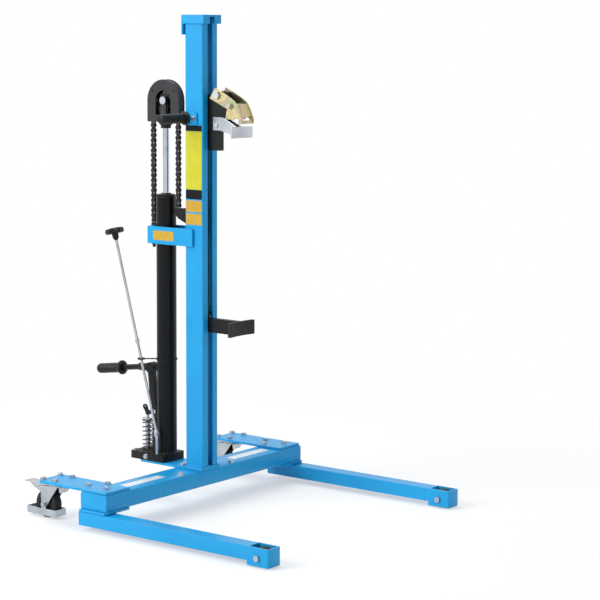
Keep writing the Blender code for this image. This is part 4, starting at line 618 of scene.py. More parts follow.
def body_of(node: str) -> str:
    """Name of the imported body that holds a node.

    Args:
        node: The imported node.

    Returns:
        The body's name in the record.
    """
    for body, nodes in frame["record"]["behaviour"]["bodies"].items():
        if node in nodes:
            return body
    raise KeyError(node)


def middle(node: str) -> Vector:
    """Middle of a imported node's box."""
    low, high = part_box(node)
    return (low + high) / 2


def top_of(node: str) -> float:
    """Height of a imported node's top."""
    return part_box(node)[1].z


def mirrored(place: Place, way: int) -> Place:
    """A place or direction of the left side, on the left for way 1 and on the right for way -1."""
    return place[0], way * place[1], place[2]


# Repeats by Geometry Nodes

class Repeat:
    """Geometry Nodes tree that sets templates on points and turns each by its own facing."""

    def __init__(self) -> None:
        """Builds the tree with its named inputs."""
        tree = self.tree = bpy.data.node_groups.new("set_on_points", "GeometryNodeTree")
        for name, kind in (("Geometry", "NodeSocketGeometry"), ("Template", "NodeSocketObject"),
                           ("Second Template", "NodeSocketObject"), ("Material", "NodeSocketMaterial"),
                           ("Play", "NodeSocketFloat"), ("Seed", "NodeSocketInt")):
            tree.interface.new_socket(name, in_out="INPUT", socket_type=kind)
        tree.interface.new_socket("Geometry", in_out="OUTPUT", socket_type="NodeSocketGeometry")
        given = add_node(tree, "NodeGroupInput")
        faced = add_node(tree, "GeometryNodeInputNamedAttribute", {"Name": "facing"},
                         data_type="FLOAT_VECTOR")
        second = add_node(tree, "GeometryNodeInputNamedAttribute", {"Name": "second"}, data_type="BOOLEAN")
        least = add_node(tree, "ShaderNodeMath", {0: given.outputs["Play"], 1: -1.0}, operation="MULTIPLY")
        # Random Value's sockets share their names, so its decimal Min and Max are numbers 2 and 3 and
        # its decimal output is number 1.
        chance = add_node(tree, "FunctionNodeRandomValue", {
            2: least.outputs["Value"], 3: given.outputs["Play"], "Seed": given.outputs["Seed"]},
            data_type="FLOAT")
        spin = add_node(tree, "ShaderNodeCombineXYZ", {"Z": chance.outputs[1]})
        turn = add_node(tree, "FunctionNodeEulerToRotation", {"Euler": faced.outputs["Attribute"]})
        extra = add_node(tree, "FunctionNodeEulerToRotation", {"Euler": spin.outputs["Vector"]})
        both = add_node(tree, "FunctionNodeRotateRotation", {
            "Rotation": turn.outputs["Rotation"], "Rotate By": extra.outputs["Rotation"]},
            rotation_space="LOCAL")
        first = add_node(tree, "FunctionNodeBooleanMath", {0: second.outputs["Attribute"]}, operation="NOT")
        join = add_node(tree, "GeometryNodeJoinGeometry")
        for template, chosen in (("Template", first.outputs["Boolean"]),
                                 ("Second Template", second.outputs["Attribute"])):
            shape = add_node(tree, "GeometryNodeObjectInfo", {
                "Object": given.outputs[template], "As Instance": True})
            copies = add_node(tree, "GeometryNodeInstanceOnPoints", {
                "Points": given.outputs["Geometry"], "Instance": shape.outputs["Geometry"],
                "Selection": chosen, "Rotation": both.outputs["Rotation"]})
            tree.links.new(copies.outputs["Instances"], join.inputs["Geometry"])
        real = add_node(tree, "GeometryNodeRealizeInstances", {"Geometry": join.outputs["Geometry"]})
        coloured = add_node(tree, "GeometryNodeSetMaterial", {
            "Geometry": real.outputs["Geometry"], "Material": given.outputs["Material"]})
        out = add_node(tree, "NodeGroupOutput")
        tree.links.new(coloured.outputs["Geometry"], out.inputs["Geometry"])
        self.sockets = {item.name: item.identifier for item in tree.interface.items_tree
                        if item.item_type == "SOCKET" and item.in_out == "INPUT"}

    def mesh(self, name: str, points: list[Vector], facings: list[Vector], finish: Finish,
             template: bmesh.types.BMesh, second: bmesh.types.BMesh | None = None,
             use_second: list[bool] | None = None, play: float = 0.0) -> bpy.types.Mesh:
        """Plain mesh of a template set on points.

        Args:
            name: Name of the mesh.
            points: Where each copy goes.
            facings: Euler turn of each copy in radians.
            finish: Surface of all copies.
            template: The repeated shape.
            second: Shape for the points that use_second marks.
            use_second: One flag per point.
            play: Most that a copy is spun about its own Z, in radians, either way.

        Returns:
            One realised mesh.
        """
        carrier_mesh = bpy.data.meshes.new(name + "_points")
        carrier_mesh.from_pydata([tuple(p) for p in points], [], [])
        turn = carrier_mesh.attributes.new("facing", "FLOAT_VECTOR", "POINT")
        turn.data.foreach_set("vector", [c for facing in facings for c in facing])
        flag = carrier_mesh.attributes.new("second", "BOOLEAN", "POINT")
        flag.data.foreach_set("value", use_second or [False] * len(points))
        carrier = bpy.data.objects.new(name + "_points", carrier_mesh)
        templates = []
        for part in (template, second):
            if part is None:
                templates.append(None)
                continue
            data = bpy.data.meshes.new(name + "_template")
            part.to_mesh(data)
            part.free()
            templates.append(bpy.data.objects.new(name + "_template", data))
        for made in (carrier, *templates):
            if made:
                bpy.context.scene.collection.objects.link(made)
        repeat = carrier.modifiers.new("repeat", "NODES")
        repeat.node_group = self.tree
        for socket, value in (("Template", templates[0]), ("Second Template", templates[1]),
                              ("Material", finish.material()), ("Play", play), ("Seed", PLAY_SEED)):
            if value is not None:
                repeat[self.sockets[socket]] = value
        bpy.context.view_layer.update()
        graph = bpy.context.evaluated_depsgraph_get()
        made = bpy.data.meshes.new_from_object(carrier.evaluated_get(graph), depsgraph=graph)
        for extra in ("facing", "second"):
            if made.attributes.get(extra):
                made.attributes.remove(made.attributes[extra])
        for spare in (carrier, *templates):
            if spare:
                bpy.data.objects.remove(spare)
        return made

    def bolts(self, name: str, size: float, seats: list[Seat], body: str = "chassis") -> bpy.types.Object:
        """Zinc bolt heads, each wrenched to a different angle.

        Args:
            name: Name of the piece that they make.
            size: Diameter of the thread.
            seats: Place of each head and the direction that it faces.
            body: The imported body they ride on.

        Returns:
            Their object.
        """
        mesh = self.mesh(name, [Vector(at) for at, _ in seats], [facing(out) for _, out in seats],
                         BRIGHT_ZINC, bolt_head(size), play=pi / 6)
        return place_piece(name, mesh, BRIGHT_ZINC, body, bevel=0.0003)

    def bolt_pair(self, name: str, size: float, at: Place, out: Place) -> bpy.types.Object:
        """Two of the chassis' bolt heads, mirror images of each other across the middle plane.

        Args:
            name: Name of the piece that they make.
            size: Diameter of the thread.
            at: Place of the left one.
            out: Direction that the left one faces.

        Returns:
            Their object.
        """
        return self.bolts(name, size, [(mirrored(at, way), mirrored(out, way)) for _, way in SIDES])


# Sub-assemblies

@dataclass
class Chassis:
    """Cross beam, straddle legs, plates and the mast's shelf.

    Attributes:
        repeat: Sets the bolts.
        thread: Diameter of its bolts.
        bead: Radius of its weld beads.
        swivel: X and Y of the left caster's swivel.
        swivel_spread: Half distances along X and Y between the four bolts over a swivel.
        beam_seats: X and Y of the three bolts that hold the left caster plate to the beam.
        beam_bolt: X and Y of the left bolt beside the mast, in the beam.
        shelf_bolt: X and Y of the left bolt in the pump shelf.
        mast_seam: Ends of the left bead at the mast's foot.
        leg_seam: Ends of the left bead between leg and beam.
        pale_x: Rear and front edges of the bare plates on the beam.
        pale_y: Inner and outer edges of the left one.
    """

    repeat: Repeat
    thread: float = 0.0095
    bead: float = 0.0032
    swivel: tuple[float, float] = (-0.325, 0.412)
    swivel_spread: tuple[float, float] = (0.025, 0.037)
    beam_seats: Profile = ((-0.187, 0.424), (-0.154, 0.373), (-0.111, 0.427))
    beam_bolt: tuple[float, float] = (-0.087, 0.122)
    shelf_bolt: tuple[float, float] = (-0.150, 0.034)
    mast_seam: Seat = ((-0.136, 0.0362, 0.1296), (-0.071, 0.0362, 0.1296))
    leg_seam: Seat = ((-0.0728, 0.4235, 0.064), (-0.0728, 0.466, 0.064))
    pale_x: tuple[float, float] = (-0.142, -0.108)
    pale_y: tuple[float, float] = (0.165, 0.345)

    def build(self) -> None:
        """Dresses the welded frame and sets its bolts, seams and bare plates."""
        for node in ("cross_beam", "leg_left", "leg_right", "packer_plate_left", "packer_plate_right",
                     "caster_plate_left", "caster_plate_right", "pump_shelf"):
            dressed(node, SKY_BLUE, 0.0018)
        beam_top, plate_top = top_of("cross_beam"), top_of("caster_plate_left")
        for name, way in SIDES:
            dressed(f"leg_axle_{name}", BRIGHT_ZINC, 0.0004)
            dressed(f"leg_roller_{name}", TYRE_RUBBER, 0.0012)
            self.plate_bolts(name, way, plate_top)
        self.repeat.bolt_pair("beam_bolts", self.thread, (*self.beam_bolt, beam_top), UP)
        self.repeat.bolt_pair("shelf_bolts", self.thread, (*self.shelf_bolt, plate_top), UP)
        self.seams()
        (rear, front), (inner, outer) = self.pale_x, self.pale_y
        foot = beam_top + FILM_OFFSET
        for name, way in SIDES:
            outline = [(rear, way * outer), (front, way * outer), (front, way * inner), (rear, way * inner)]
            place_piece(f"pale_plate_{name}", slab(outline, foot, foot + FILM), PALE_VINYL, "chassis", 0)

    def plate_bolts(self, name: str, way: int, height: float) -> None:
        """Seven bolts on a caster plate: four over the swivel, three through the beam.

        Args:
            name: left or right.
            way: 1 for the left side, -1 for the right.
            height: Top of the plate.
        """
        (x, y), (along, across) = self.swivel, self.swivel_spread
        seats = [(x + a, y + b) for a in (-along, along) for b in (-across, across)] + list(self.beam_seats)
        self.repeat.bolts(f"plate_bolts_{name}", self.thread, [((a, way * b, height), UP) for a, b in seats])

    def seams(self) -> None:
        """Painted weld beads at the mast's foot and where the legs meet the beam."""
        ends = [[Vector(mirrored(end, way)) for end in seam]
                for seam in (self.mast_seam, self.leg_seam) for _, way in SIDES]
        for k, (start, stop) in enumerate(ends):
            place_piece(f"weld_{k}", weld(start, stop, self.bead), SKY_BLUE, "chassis", 0)


@dataclass
class Casters:
    """Two braked swivel casters with toe guards.

    Attributes:
        width: Width of the tyre and the hub.
        tyre_side: Half of the tyre's section, as radius and share of half the width.
        hub_side: Half of the hub's section, in the same way, with the bearing cap at its bore.
    """

    width: float = 0.030
    tyre_side: Profile = ((0.0255, 0.93), (0.0360, 1.0), (0.0400, 0.93), (0.0422, 0.72), (0.0430, 0.35))
    hub_side: Profile = ((0.0062, 1.0), (0.0115, 1.0), (0.0125, 0.82), (0.0155, 0.70), (0.0215, 0.70),
                         (0.0232, 0.90), (0.0254, 0.92))

    def build(self) -> None:
        """Dresses both casters."""
        for name, _ in SIDES:
            for part in ("top_plate", "fork", "guard", "pedal"):
                dressed(f"caster_{part}_{name}", BRIGHT_ZINC, 0.0007)
            self.wheel(name)

    def wheel(self, name: str) -> None:
        """Rubber tyre on a moulded hub with a bearing cap on each side.

        Args:
            name: left or right.
        """
        half = self.width / 2
        node = f"caster_wheel_{name}"
        for label, side, finish, replaces in (("tyre", self.tyre_side, TYRE_RUBBER, (node,)),
                                              ("hub", self.hub_side, NYLON, ())):
            profile = [(radius, -half * share) for radius, share in side]
            profile += [(radius, half * share) for radius, share in reversed(side)]
            mesh = stood(turned(profile, True), middle(node), (0, 1, 0))
            place_piece(f"caster_{label}_{name}", mesh, finish, body_of(node), 0.0005, replaces)


@dataclass
class Mast:
    """Twin-channel mast with its cap, bracket, handles and bare plates.

    Attributes:
        repeat: Sets the bolts.
        handle_bolt: Place of the left handle's bolt.
        stay_bolt: Place of the left bolt behind the stay bracket.
        plate_inset: How far the mast's bare plates stay from its edges.
        plate_corner: Radius of their corners.
        stay_plate: The stay bracket's bare plate, as edges along X, its face in Y and edges along Z.
        plates: The mast's bare plates, as name, finish, lower and upper edge.
    """

    repeat: Repeat
    handle_bolt: Place = (-0.099, 0.0411, 1.205)
    stay_bolt: Place = (-0.2867, 0.030, 0.840)
    plate_inset: float = 0.0038
    plate_corner: float = 0.0022
    stay_plate: tuple[tuple[float, float], float, tuple[float, float]] = ((-0.263, -0.180), -0.0440,
                                                                          (0.8255, 0.8545))
    plates: tuple[tuple[str, Finish, float, float], ...] = field(default_factory=lambda: (
        ("band_top", BLACK_VINYL, 1.1665, 1.1835), ("yellow_plate", YELLOW_VINYL, 0.9885, 1.1660),
        ("band_low", BLACK_VINYL, 0.9590, 0.9880), ("amber_plate_high", ORANGE_VINYL, 0.9200, 0.9550),
        ("amber_plate_low", ORANGE_VINYL, 0.8805, 0.9150)))

    def build(self) -> None:
        """Dresses the mast and lays the blank plates on its near side."""
        for node in ("mast_channel_left", "mast_channel_right"):
            dressed(node, SKY_BLUE, 0.0020)
        dressed("mast_cap", SKY_BLUE, 0.0012)
        dressed("stay_bracket", SKY_BLUE, 0.0010)
        for name, way in SIDES:
            dressed(f"handle_stub_{name}", SKY_BLUE, 0.0008)
            self.handle_grip(name, way)
        low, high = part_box("mast_channel_right")
        edges = (low.x + self.plate_inset, high.x - self.plate_inset)
        for label, finish, foot, head in self.plates:
            place_piece(label, self.plate(edges, low.y, (foot, head)), finish, "chassis", 0)
        place_piece("amber_plate_stay", self.plate(*self.stay_plate), ORANGE_VINYL, "chassis", 0)
        self.repeat.bolt_pair("handle_bolts", 0.0075, self.handle_bolt, (0, 1, 0))
        self.repeat.bolt_pair("stay_bolts", 0.0092, self.stay_bolt, (-1, 0, 0))

    def plate(self, x: tuple[float, float], y: float, z: tuple[float, float]) -> bmesh.types.BMesh:
        """Thin film with round corners on a face that looks along -Y.

        Args:
            x: Its rear and front edges.
            y: Where the face lies.
            z: Its lower and upper edges.

        Returns:
            A closed mesh.
        """
        corner, steps = self.plate_corner, 4
        rear, front, foot, head = x[0] + corner, x[1] - corner, z[0] + corner, z[1] - corner
        outline = []
        for quarter, (at_x, at_z) in enumerate(((front, head), (rear, head), (rear, foot), (front, foot))):
            turns = [radians(90 * (quarter + k / steps)) for k in range(steps + 1)]
            outline += [(at_x + corner * cos(turn), at_z + corner * sin(turn)) for turn in turns]
        mesh = slab(outline, 0, FILM)
        mesh.transform(Matrix.Translation((0, y + FILM_OFFSET, 0)) @ Matrix.Rotation(radians(90), 4, "X"))
        return mesh

    def handle_grip(self, name: str, way: int) -> None:
        """Ribbed grip with a hand-stop flange and a domed end.

        Args:
            name: left or right.
            way: 1 for the left side, -1 for the right.
        """
        low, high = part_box(f"grip_{name}")
        start, end = sorted((abs(low.y), abs(high.y)))
        bore, radius, flange = 0.0113, 0.0150, 0.0210
        profile = [(bore, start), (flange - 0.001, start), (flange, start + 0.0015), (flange, start + 0.003),
                   (flange - 0.001, start + 0.0042), (radius, start + 0.0055)]
        profile += ribs(radius, 0.0009, start + 0.012, end - 0.010, 11)
        profile += [(radius, end - 0.004), (radius - 0.002, end - 0.001), (radius - 0.005, end), (0, end),
                    (0, end - 0.004), (bore, end - 0.004)]
        axis = middle(f"grip_{name}")
        mesh = stood(turned(profile, True), (axis.x, 0, axis.z), (0, way, 0))
        place_piece(f"grip_{name}_ribbed", mesh, SOFT_PVC, "chassis", 0, (f"grip_{name}",), SMOOTH_MOULDED)


@dataclass
class Jack:
    """Foot pump, cylinder, ram, pedal and release control.

    Attributes:
        repeat: Sets the bolts.
        bore: Radius of the cylinder's bore.
        bore_depth: From the cylinder's top to the floor of its bore.
        ram_radius: Radius of the ram above its piston.
        spring_axis: X of the spring's middle line.
        spring_radius: Its outer radius.
        spring_wire: Thickness of its wire.
        spring: Heights of its foot and top.
        spring_turns: Number of turns, the closed ones at both ends included.
        plunger_travel: How far the plunger goes down; not used.
        pedal_start: X and Z where the pedal's bar leaves the lever.
        pedal_end: X and Z near the bar's free end.
        knuckle: Joint at the foot of the release rod.
        neck: Where the rod enters its knob.
        knob_radius: Radius of the knob over its lobes.
        knob_lobes: Number of lobes.
        knob_swell: How far they swing about the knob's mean radius, as a share of knob_radius.
        base_bolt: Place of the left bolt in the pump's foot.
        valve_plug: Place of the plug on the pump's left side.
    """

    repeat: Repeat
    bore: float = 0.020
    bore_depth: float = 0.470
    ram_radius: float = 0.010
    spring_axis: float = -0.328
    spring_radius: float = 0.018
    spring_wire: float = 0.004
    spring: tuple[float, float] = (0.1485, 0.2445)
    spring_turns: int = 8
    plunger_travel: float = 0.016
    pedal_start: tuple[float, float] = (-0.331, 0.4135)
    pedal_end: tuple[float, float] = (-0.525, 0.3868)
    knuckle: Place = (-0.249, -0.045, 0.209)
    neck: Place = (-0.4055, -0.060, 0.824)
    knob_radius: float = 0.031
    knob_lobes: int = 5
    knob_swell: float = 0.12
    base_bolt: Place = (-0.345, 0.040, 0.1482)
    valve_plug: Place = (-0.290, 0.0506, 0.1362)

    def build(self) -> None:
        """Dresses the jack from the pump base up."""
        dressed("pump_block", CAST_BLACK, 0.0012)
        dressed("pump_lever", SATIN_BLACK, 0.0012)
        dressed("rod_guide", SATIN_BLACK, 0.0004)
        dressed("gland_nut", SATIN_BLACK, 0.0005)
        for node in ("lever_pin", "pump_plunger", "release_spindle", "release_rod"):
            dressed(node, BRIGHT_ZINC, 0.0004)
        self.tubes()
        self.coil()
        self.pedal()
        self.knob()
        self.repeat.bolt_pair("base_bolts", 0.0075, self.base_bolt, UP)
        self.repeat.bolt_pair("valve_plugs", 0.0085, self.valve_plug, (0, 1, 0))
        self.rod_clamp()

    def rod_clamp(self) -> None:
        """Two small bolts, back to back, that clamp the release rod near its middle."""
        foot, neck = Vector(self.knuckle), Vector(self.neck)
        at = foot + (neck - foot).normalized() * ((neck - foot).length * 0.47 + 0.005)
        outs = [Vector((way * 0.6, way * -0.8, 0)) for _, way in SIDES]
        self.repeat.bolts("rod_clamp_bolts", 0.0056, [(tuple(at + 0.0052 * out), tuple(out)) for out in outs],
                          "release_control")

    def tubes(self) -> None:
        """Cylinder with its welded foot collar, and the ram from piston to yoke."""
        axis = middle("cylinder").x
        low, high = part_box("cylinder")
        foot, top, radius = low.z, high.z, high.y
        lip, floor = 0.0015, top - self.bore_depth
        seat_radius, seat = 0.0226, top - 0.0185
        cylinder = [(0, foot), (radius, foot), (radius, top - lip), (radius - lip, top), (seat_radius, top),
                    (seat_radius, seat), (self.bore, seat), (self.bore, floor), (0, floor)]
        place_piece("cylinder_turned", stood(turned(cylinder), (axis, 0, 0)), TUBE_BLACK, "chassis", 0.0004,
                    ("cylinder",))
        rod_low, rod_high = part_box("ram_rod")
        piston, piston_top = self.bore - 0.0004, rod_low.z + 0.018
        ram = [(0, rod_low.z), (piston, rod_low.z), (piston, piston_top), (self.ram_radius, piston_top),
               (self.ram_radius, rod_high.z), (0, rod_high.z)]
        place_piece("ram_turned", stood(turned(ram), (axis, 0, 0)), HARD_CHROME, "ram", 0.0003, ("ram_rod",))
        inner = self.ram_radius + 0.0005
        wiper = [(inner, 0), (0.0165, 0), (0.0150, 0.0035), (inner, 0.0040)]
        place_piece("ram_wiper", stood(turned(wiper, True), (axis, 0, top_of("gland_nut") + 0.0001)), NYLON,
                    "chassis", 0.0003)
        sunk = radius - 0.0005
        bead = [(sunk, 0), (radius + 0.0035, 0), (radius + 0.0022, 0.0030), (sunk, 0.0044)]
        place_piece("cylinder_foot_weld", stood(turned(bead, True), (axis, 0, foot - 0.0001)), SATIN_BLACK,
                    "chassis", 0)

    def rise(self, share: float) -> float:
        """How far up the spring its wire has come, with closed end coils.

        Args:
            share: Share of the turns, from 0 at the foot to 1.

        Returns:
            Share of the height, from 0 to 1.
        """
        closed = 1 / self.spring_turns
        flat = 1.15 * self.spring_wire / (self.spring[1] - self.spring[0] - self.spring_wire)
        if share < closed:
            return flat * share / closed
        if share > 1 - closed:
            return 1 - flat * (1 - share) / closed
        return flat + (1 - 2 * flat) * (share - closed) / (1 - 2 * closed)

    def coil(self) -> None:
        """Return spring with closed coils at both ends."""
        steps = 28
        wire = self.spring_wire / 2
        mean = self.spring_radius - wire
        low, high = self.spring
        count = self.spring_turns * steps
        path = []
        for k in range(count + 1):
            turn = 2 * pi * k / steps
            path.append(Vector((self.spring_axis + mean * cos(turn), mean * sin(turn),
                                low + wire + (high - low - 2 * wire) * self.rise(k / count))))
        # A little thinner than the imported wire, so that it stays inside the spring's packed size.
        mesh = tube(path, [0.98 * wire] * len(path))
        made = place_piece("spring_coil", mesh, SPRING_STEEL, "chassis", 0, ("pump_spring",), SMOOTH_WIRE)
        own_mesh(made)

    def pedal(self) -> None:
        """Soft pedal sleeve with a bulged flange and a domed end."""
        start = Vector((self.pedal_start[0], 0, self.pedal_start[1]))
        end = Vector((self.pedal_end[0], 0, self.pedal_end[1]))
        heading = (end - start).normalized()
        low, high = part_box("pedal_grip")
        begin = (high.x - start.x) / heading.x + 0.003
        last = (low.x - start.x) / heading.x - 0.001
        bore, radius, flange = 0.0125, 0.016, 0.023
        profile = [(bore, begin), (flange - 0.005, begin), (flange - 0.001, begin + 0.0025),
                   (flange, begin + 0.0055), (flange - 0.0005, begin + 0.0085),
                   (flange - 0.004, begin + 0.0125), (radius, begin + 0.016)]
        profile += ribs(radius, 0.0007, begin + 0.024, last - 0.018, 9)
        profile += [(radius, last - 0.009), (radius - 0.0022, last - 0.004), (radius - 0.0058, last - 0.001),
                    (radius - 0.010, last), (0, last), (0, last - 0.012), (bore, last - 0.012)]
        mesh = stood(turned(profile, True), start, heading)
        place_piece("pedal_grip_moulded", mesh, SOFT_PVC, "pump_lever", 0, ("pedal_grip",), SMOOTH_MOULDED)

    def knob(self) -> None:
        """Five-lobed hand knob with a soft edge and a dished top."""
        foot, neck = Vector(self.knuckle), Vector(self.neck)
        length = (neck - foot).length
        base = length + 0.012
        # The knob's section from its underside up, as shares of its radius and heights.
        section = [(0.0, base), (0.62, base), (0.90, base + 0.0012), (0.985, base + 0.0045),
                   (1.0, base + 0.009), (0.985, base + 0.0135), (0.90, base + 0.0168), (0.70, base + 0.018),
                   (0.40, base + 0.0166), (0.0, base + 0.0163)]
        made = bmesh.new()
        loops = []
        for share, height in section:
            loops.append([])
            for turn in round_turns(120 if share else 1):
                lobed = 1 - self.knob_swell + self.knob_swell * cos(self.knob_lobes * turn)
                out = self.knob_radius * share * (lobed if share > 0.5 else 0.9)
                loops[-1].append(made.verts.new((out * cos(turn), out * sin(turn), height)))
        skin(made, loops)
        bmesh.ops.recalc_face_normals(made, faces=made.faces)
        bore = 0.0043
        stem = turned([(bore, length - 0.0095), (0.0092, length - 0.0020), (0.0100, length),
                       (0.0104, base + 0.001), (bore, base + 0.001)], True, 40)
        mesh = stood(joined(made, stem), foot, neck - foot)
        place_piece("release_knob_lobed", mesh, NYLON, "release_control", 0, ("release_knob",), 40)


@dataclass
class LiftChain:
    """Roller chain from the anchor over the head to the carriage.

    Attributes:
        repeat: Sets links and rivets.
        pitch: Distance between two pins.
        radius: Radius on which the pins go round the wheel.
        plate_height: Width of a link plate across its round ends.
        plate: Thickness of a link plate.
        inner: Half the gap between the inner plates.
        roller: Radius of a roller.
        pin: Radius of a pin.
        wrap_count: Links in the half turn over the wheel.
        lip_radii: Outer and inner radius of the guard's lips.
        lip_thickness: Their thickness.
        rivet_circle: Radius on which the guard's rivets sit.
    """

    repeat: Repeat
    pitch: float = 0.015875
    radius: float = 0.05074
    plate_height: float = 0.0135
    plate: float = 0.0014
    inner: float = 0.0039
    roller: float = 0.0050
    pin: float = 0.0024
    wrap_count: int = 10
    lip_radii: tuple[float, float] = (0.0648, 0.0612)
    lip_thickness: float = 0.0042
    rivet_circle: float = 0.054

    def build(self) -> None:
        """Links the three stretches and dresses what they run on."""
        # The chain guard takes the lighter black, whose extra lightness is painted light.
        for node, finish, bevel in (("chain_guard", BLACK_WITH_PAINTED_LIGHT, 0.0009), ("chain_yoke", SATIN_BLACK, 0.0008),
                                    ("wheel_pin", BRIGHT_ZINC, 0.0005), ("chain_wheel", OILED_STEEL, 0.0005),
                                    ("chain_anchor", OILED_STEEL, 0.0004)):
            dressed(node, finish, bevel)
        self.wrap()
        self.strand("rear", ("chassis", "ram"))
        self.strand("front", ("ram", "carriage"))
        self.lips()
        self.rivets()

    def rivets(self) -> None:
        """Snap heads near the shoulders of the guard's two side plates."""
        axis, _, head = middle("chain_wheel")
        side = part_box("chain_guard")[1].y
        seats = [((axis + self.rivet_circle * cos(turn), way * side, head + self.rivet_circle * sin(turn)),
                  (0, way, 0)) for way in (-1, 1) for turn in (radians(35), radians(145))]
        snap = turned([(0, 0), (0.0036, 0), (0.0033, 0.0011), (0.0018, 0.0019), (0, 0.0021)], steps=24)
        mesh = self.repeat.mesh("guard_rivets", [Vector(at) for at, _ in seats],
                                [facing(out) for _, out in seats], SATIN_BLACK, snap)
        place_piece("guard_rivets", mesh, SATIN_BLACK, "ram", 0)

    def lips(self) -> None:
        """Lips of the guard's two side plates, proud of the rim band between them."""
        axis, _, head = middle("chain_wheel")
        guard_low, guard_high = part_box("chain_guard")
        low, side = guard_low.z, guard_high.y + 0.0001
        outer, inner = self.lip_radii
        arc = [radians(6 * k) for k in range(31)]
        outline = ([(axis + outer, low)] + [(axis + outer * cos(a), head + outer * sin(a)) for a in arc]
                   + [(axis - outer, low), (axis - inner, low)]
                   + [(axis + inner * cos(a), head + inner * sin(a)) for a in reversed(arc)]
                   + [(axis + inner, low)])
        for name, way in SIDES:
            near, far = sorted((-way * (side - self.lip_thickness), -way * side))
            mesh = slab(outline, near, far)
            mesh.transform(Matrix.Rotation(radians(90), 4, "X"))
            # The lips take the same lighter black, with its painted light.
            place_piece(f"guard_lip_{name}", mesh, BLACK_WITH_PAINTED_LIGHT, "ram", 0.0006)

    def link(self, outer: bool, pitch: float) -> bmesh.types.BMesh:
        """One link about its middle, along local Z, with its pins across local Y.

        Args:
            outer: Outer plates with their pins, and otherwise inner plates with their rollers.
            pitch: Distance between its two pins.

        Returns:
            The link's closed shells.
        """
        half = pitch / 2
        big = self.plate_height / 2
        waist = 0.27 * self.plate_height
        # Each end is round over 210 degrees, and the plate is narrowed halfway between them.
        arc = [radians(degrees) for degrees in range(-105, 106, 15)]
        outline = []
        for way in (1, -1):
            outline += [(big * sin(turn) * way, way * (half + big * cos(turn))) for turn in arc]
            outline += [(waist * way, 0.0)]
        inside = self.inner + (self.plate + 0.0001 if outer else 0)
        parts = []
        for way in (-1, 1):
            plate = slab(outline, inside, inside + self.plate)
            plate.transform(Matrix.Rotation(radians(90), 4, "X"))
            if way > 0:
                plate.transform(Matrix.Rotation(pi, 4, "Z"))
            parts.append(plate)
        if outer:
            reach, chamfer = inside + self.plate + 0.0003, 0.0006
            tip = self.pin - chamfer
            profile = [(0, -reach), (tip, -reach), (self.pin, chamfer - reach), (self.pin, reach - chamfer),
                       (tip, reach), (0, reach)]
        else:
            reach = self.inner
            profile = [(0, -reach), (self.roller, -reach), (self.roller, reach), (0, reach)]
        for z in (-half, half):
            parts.append(stood(turned(profile, steps=20 if outer else 24), (0, 0, z), (0, 1, 0)))
        return joined(*parts)

    def wrap(self) -> None:
        """Half turn of links over the chain wheel."""
        axis, _, head = middle("chain_wheel")
        turns = [pi * (k + 0.5) / self.wrap_count for k in range(self.wrap_count)]
        chord = self.radius * cos(pi / self.wrap_count / 2)
        points = [Vector((axis + chord * cos(turn), 0, head + chord * sin(turn))) for turn in turns]
        mesh = self.repeat.mesh("wrap_links", points, [Vector((0, -turn, 0)) for turn in turns], OILED_STEEL,
                                self.link(False, self.pitch), self.link(True, self.pitch),
                                [k % 2 == 1 for k in range(self.wrap_count)])
        place_piece("wrap_links", mesh, OILED_STEEL, "ram", 0.0003, ("chain_wrap",))

    def strand(self, name: str, pair: tuple[str, str]) -> None:
        """Straight links from the wheel's height down.

        Args:
            name: rear or front.
            pair: Bodies at the two ends of the stretch, named only in the log.
        """
        low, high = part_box(f"chain_{name}_strand")
        x, top = middle(f"chain_{name}_strand").x, middle("chain_wheel").z
        length = top - low.z - self.plate_height / 2
        count = round(length / self.pitch)
        # Whole links, eased by a fiftieth at most, so that the last one ends on what holds the chain.
        pitch = length / count
        points = [Vector((x, 0, top - pitch * (k + 0.5))) for k in range(count)]
        offset = 1 if name == "rear" else 0
        mesh = self.repeat.mesh(f"{name}_links", points, [Vector((0, 0, 0))] * count, OILED_STEEL,
                                self.link(False, pitch), self.link(True, pitch),
                                [(k + offset) % 2 == 1 for k in range(count)])
        mesh.shade_smooth()
        mesh.set_sharp_from_angle(angle=radians(SMOOTH_EDGE))
        made = bpy.data.objects.new(f"{name}_links", mesh)
        bpy.context.scene.collection.objects.link(made)
        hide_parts(f"chain_{name}_strand")
        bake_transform(made)
        log.info("%s_links: %d links between %s and %s", name, count, *pair)


@dataclass
class Carriage:
    """Carriage bar, mast rollers and the rim clamp.

    Attributes:
        repeat: Sets the bolts.
        tie: X and Z of the bolt that ties the upper jaw's cheeks.
    """

    repeat: Repeat
    tie: tuple[float, float] = (0.033, 1.245)

    def build(self) -> None:
        """Dresses the carriage and sets the clamp's bright bolts."""
        dressed("carriage_frame", SATIN_BLACK, 0.0010)
        dressed("upper_jaw", YELLOW_ZINC, 0.0009)
        dressed("lower_jaw", BRIGHT_ZINC, 0.0009)
        dressed("jaw_pivot_pin", BRIGHT_ZINC, 0.0004)
        dressed("drum_rest_pad", TYRE_RUBBER, 0.0012)
        for row in ("upper", "lower"):
            for name, _ in SIDES:
                dressed(f"mast_roller_{row}_{name}", BEARING_STEEL, 0.0006)
        low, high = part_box("upper_jaw")
        seats = [((self.tie[0], y, self.tie[1]), (0, way, 0)) for y, way in ((low.y, -1), (high.y, 1))]
        self.repeat.bolts("clamp_bolts", 0.0068, seats, "upper_jaw")


# Studio

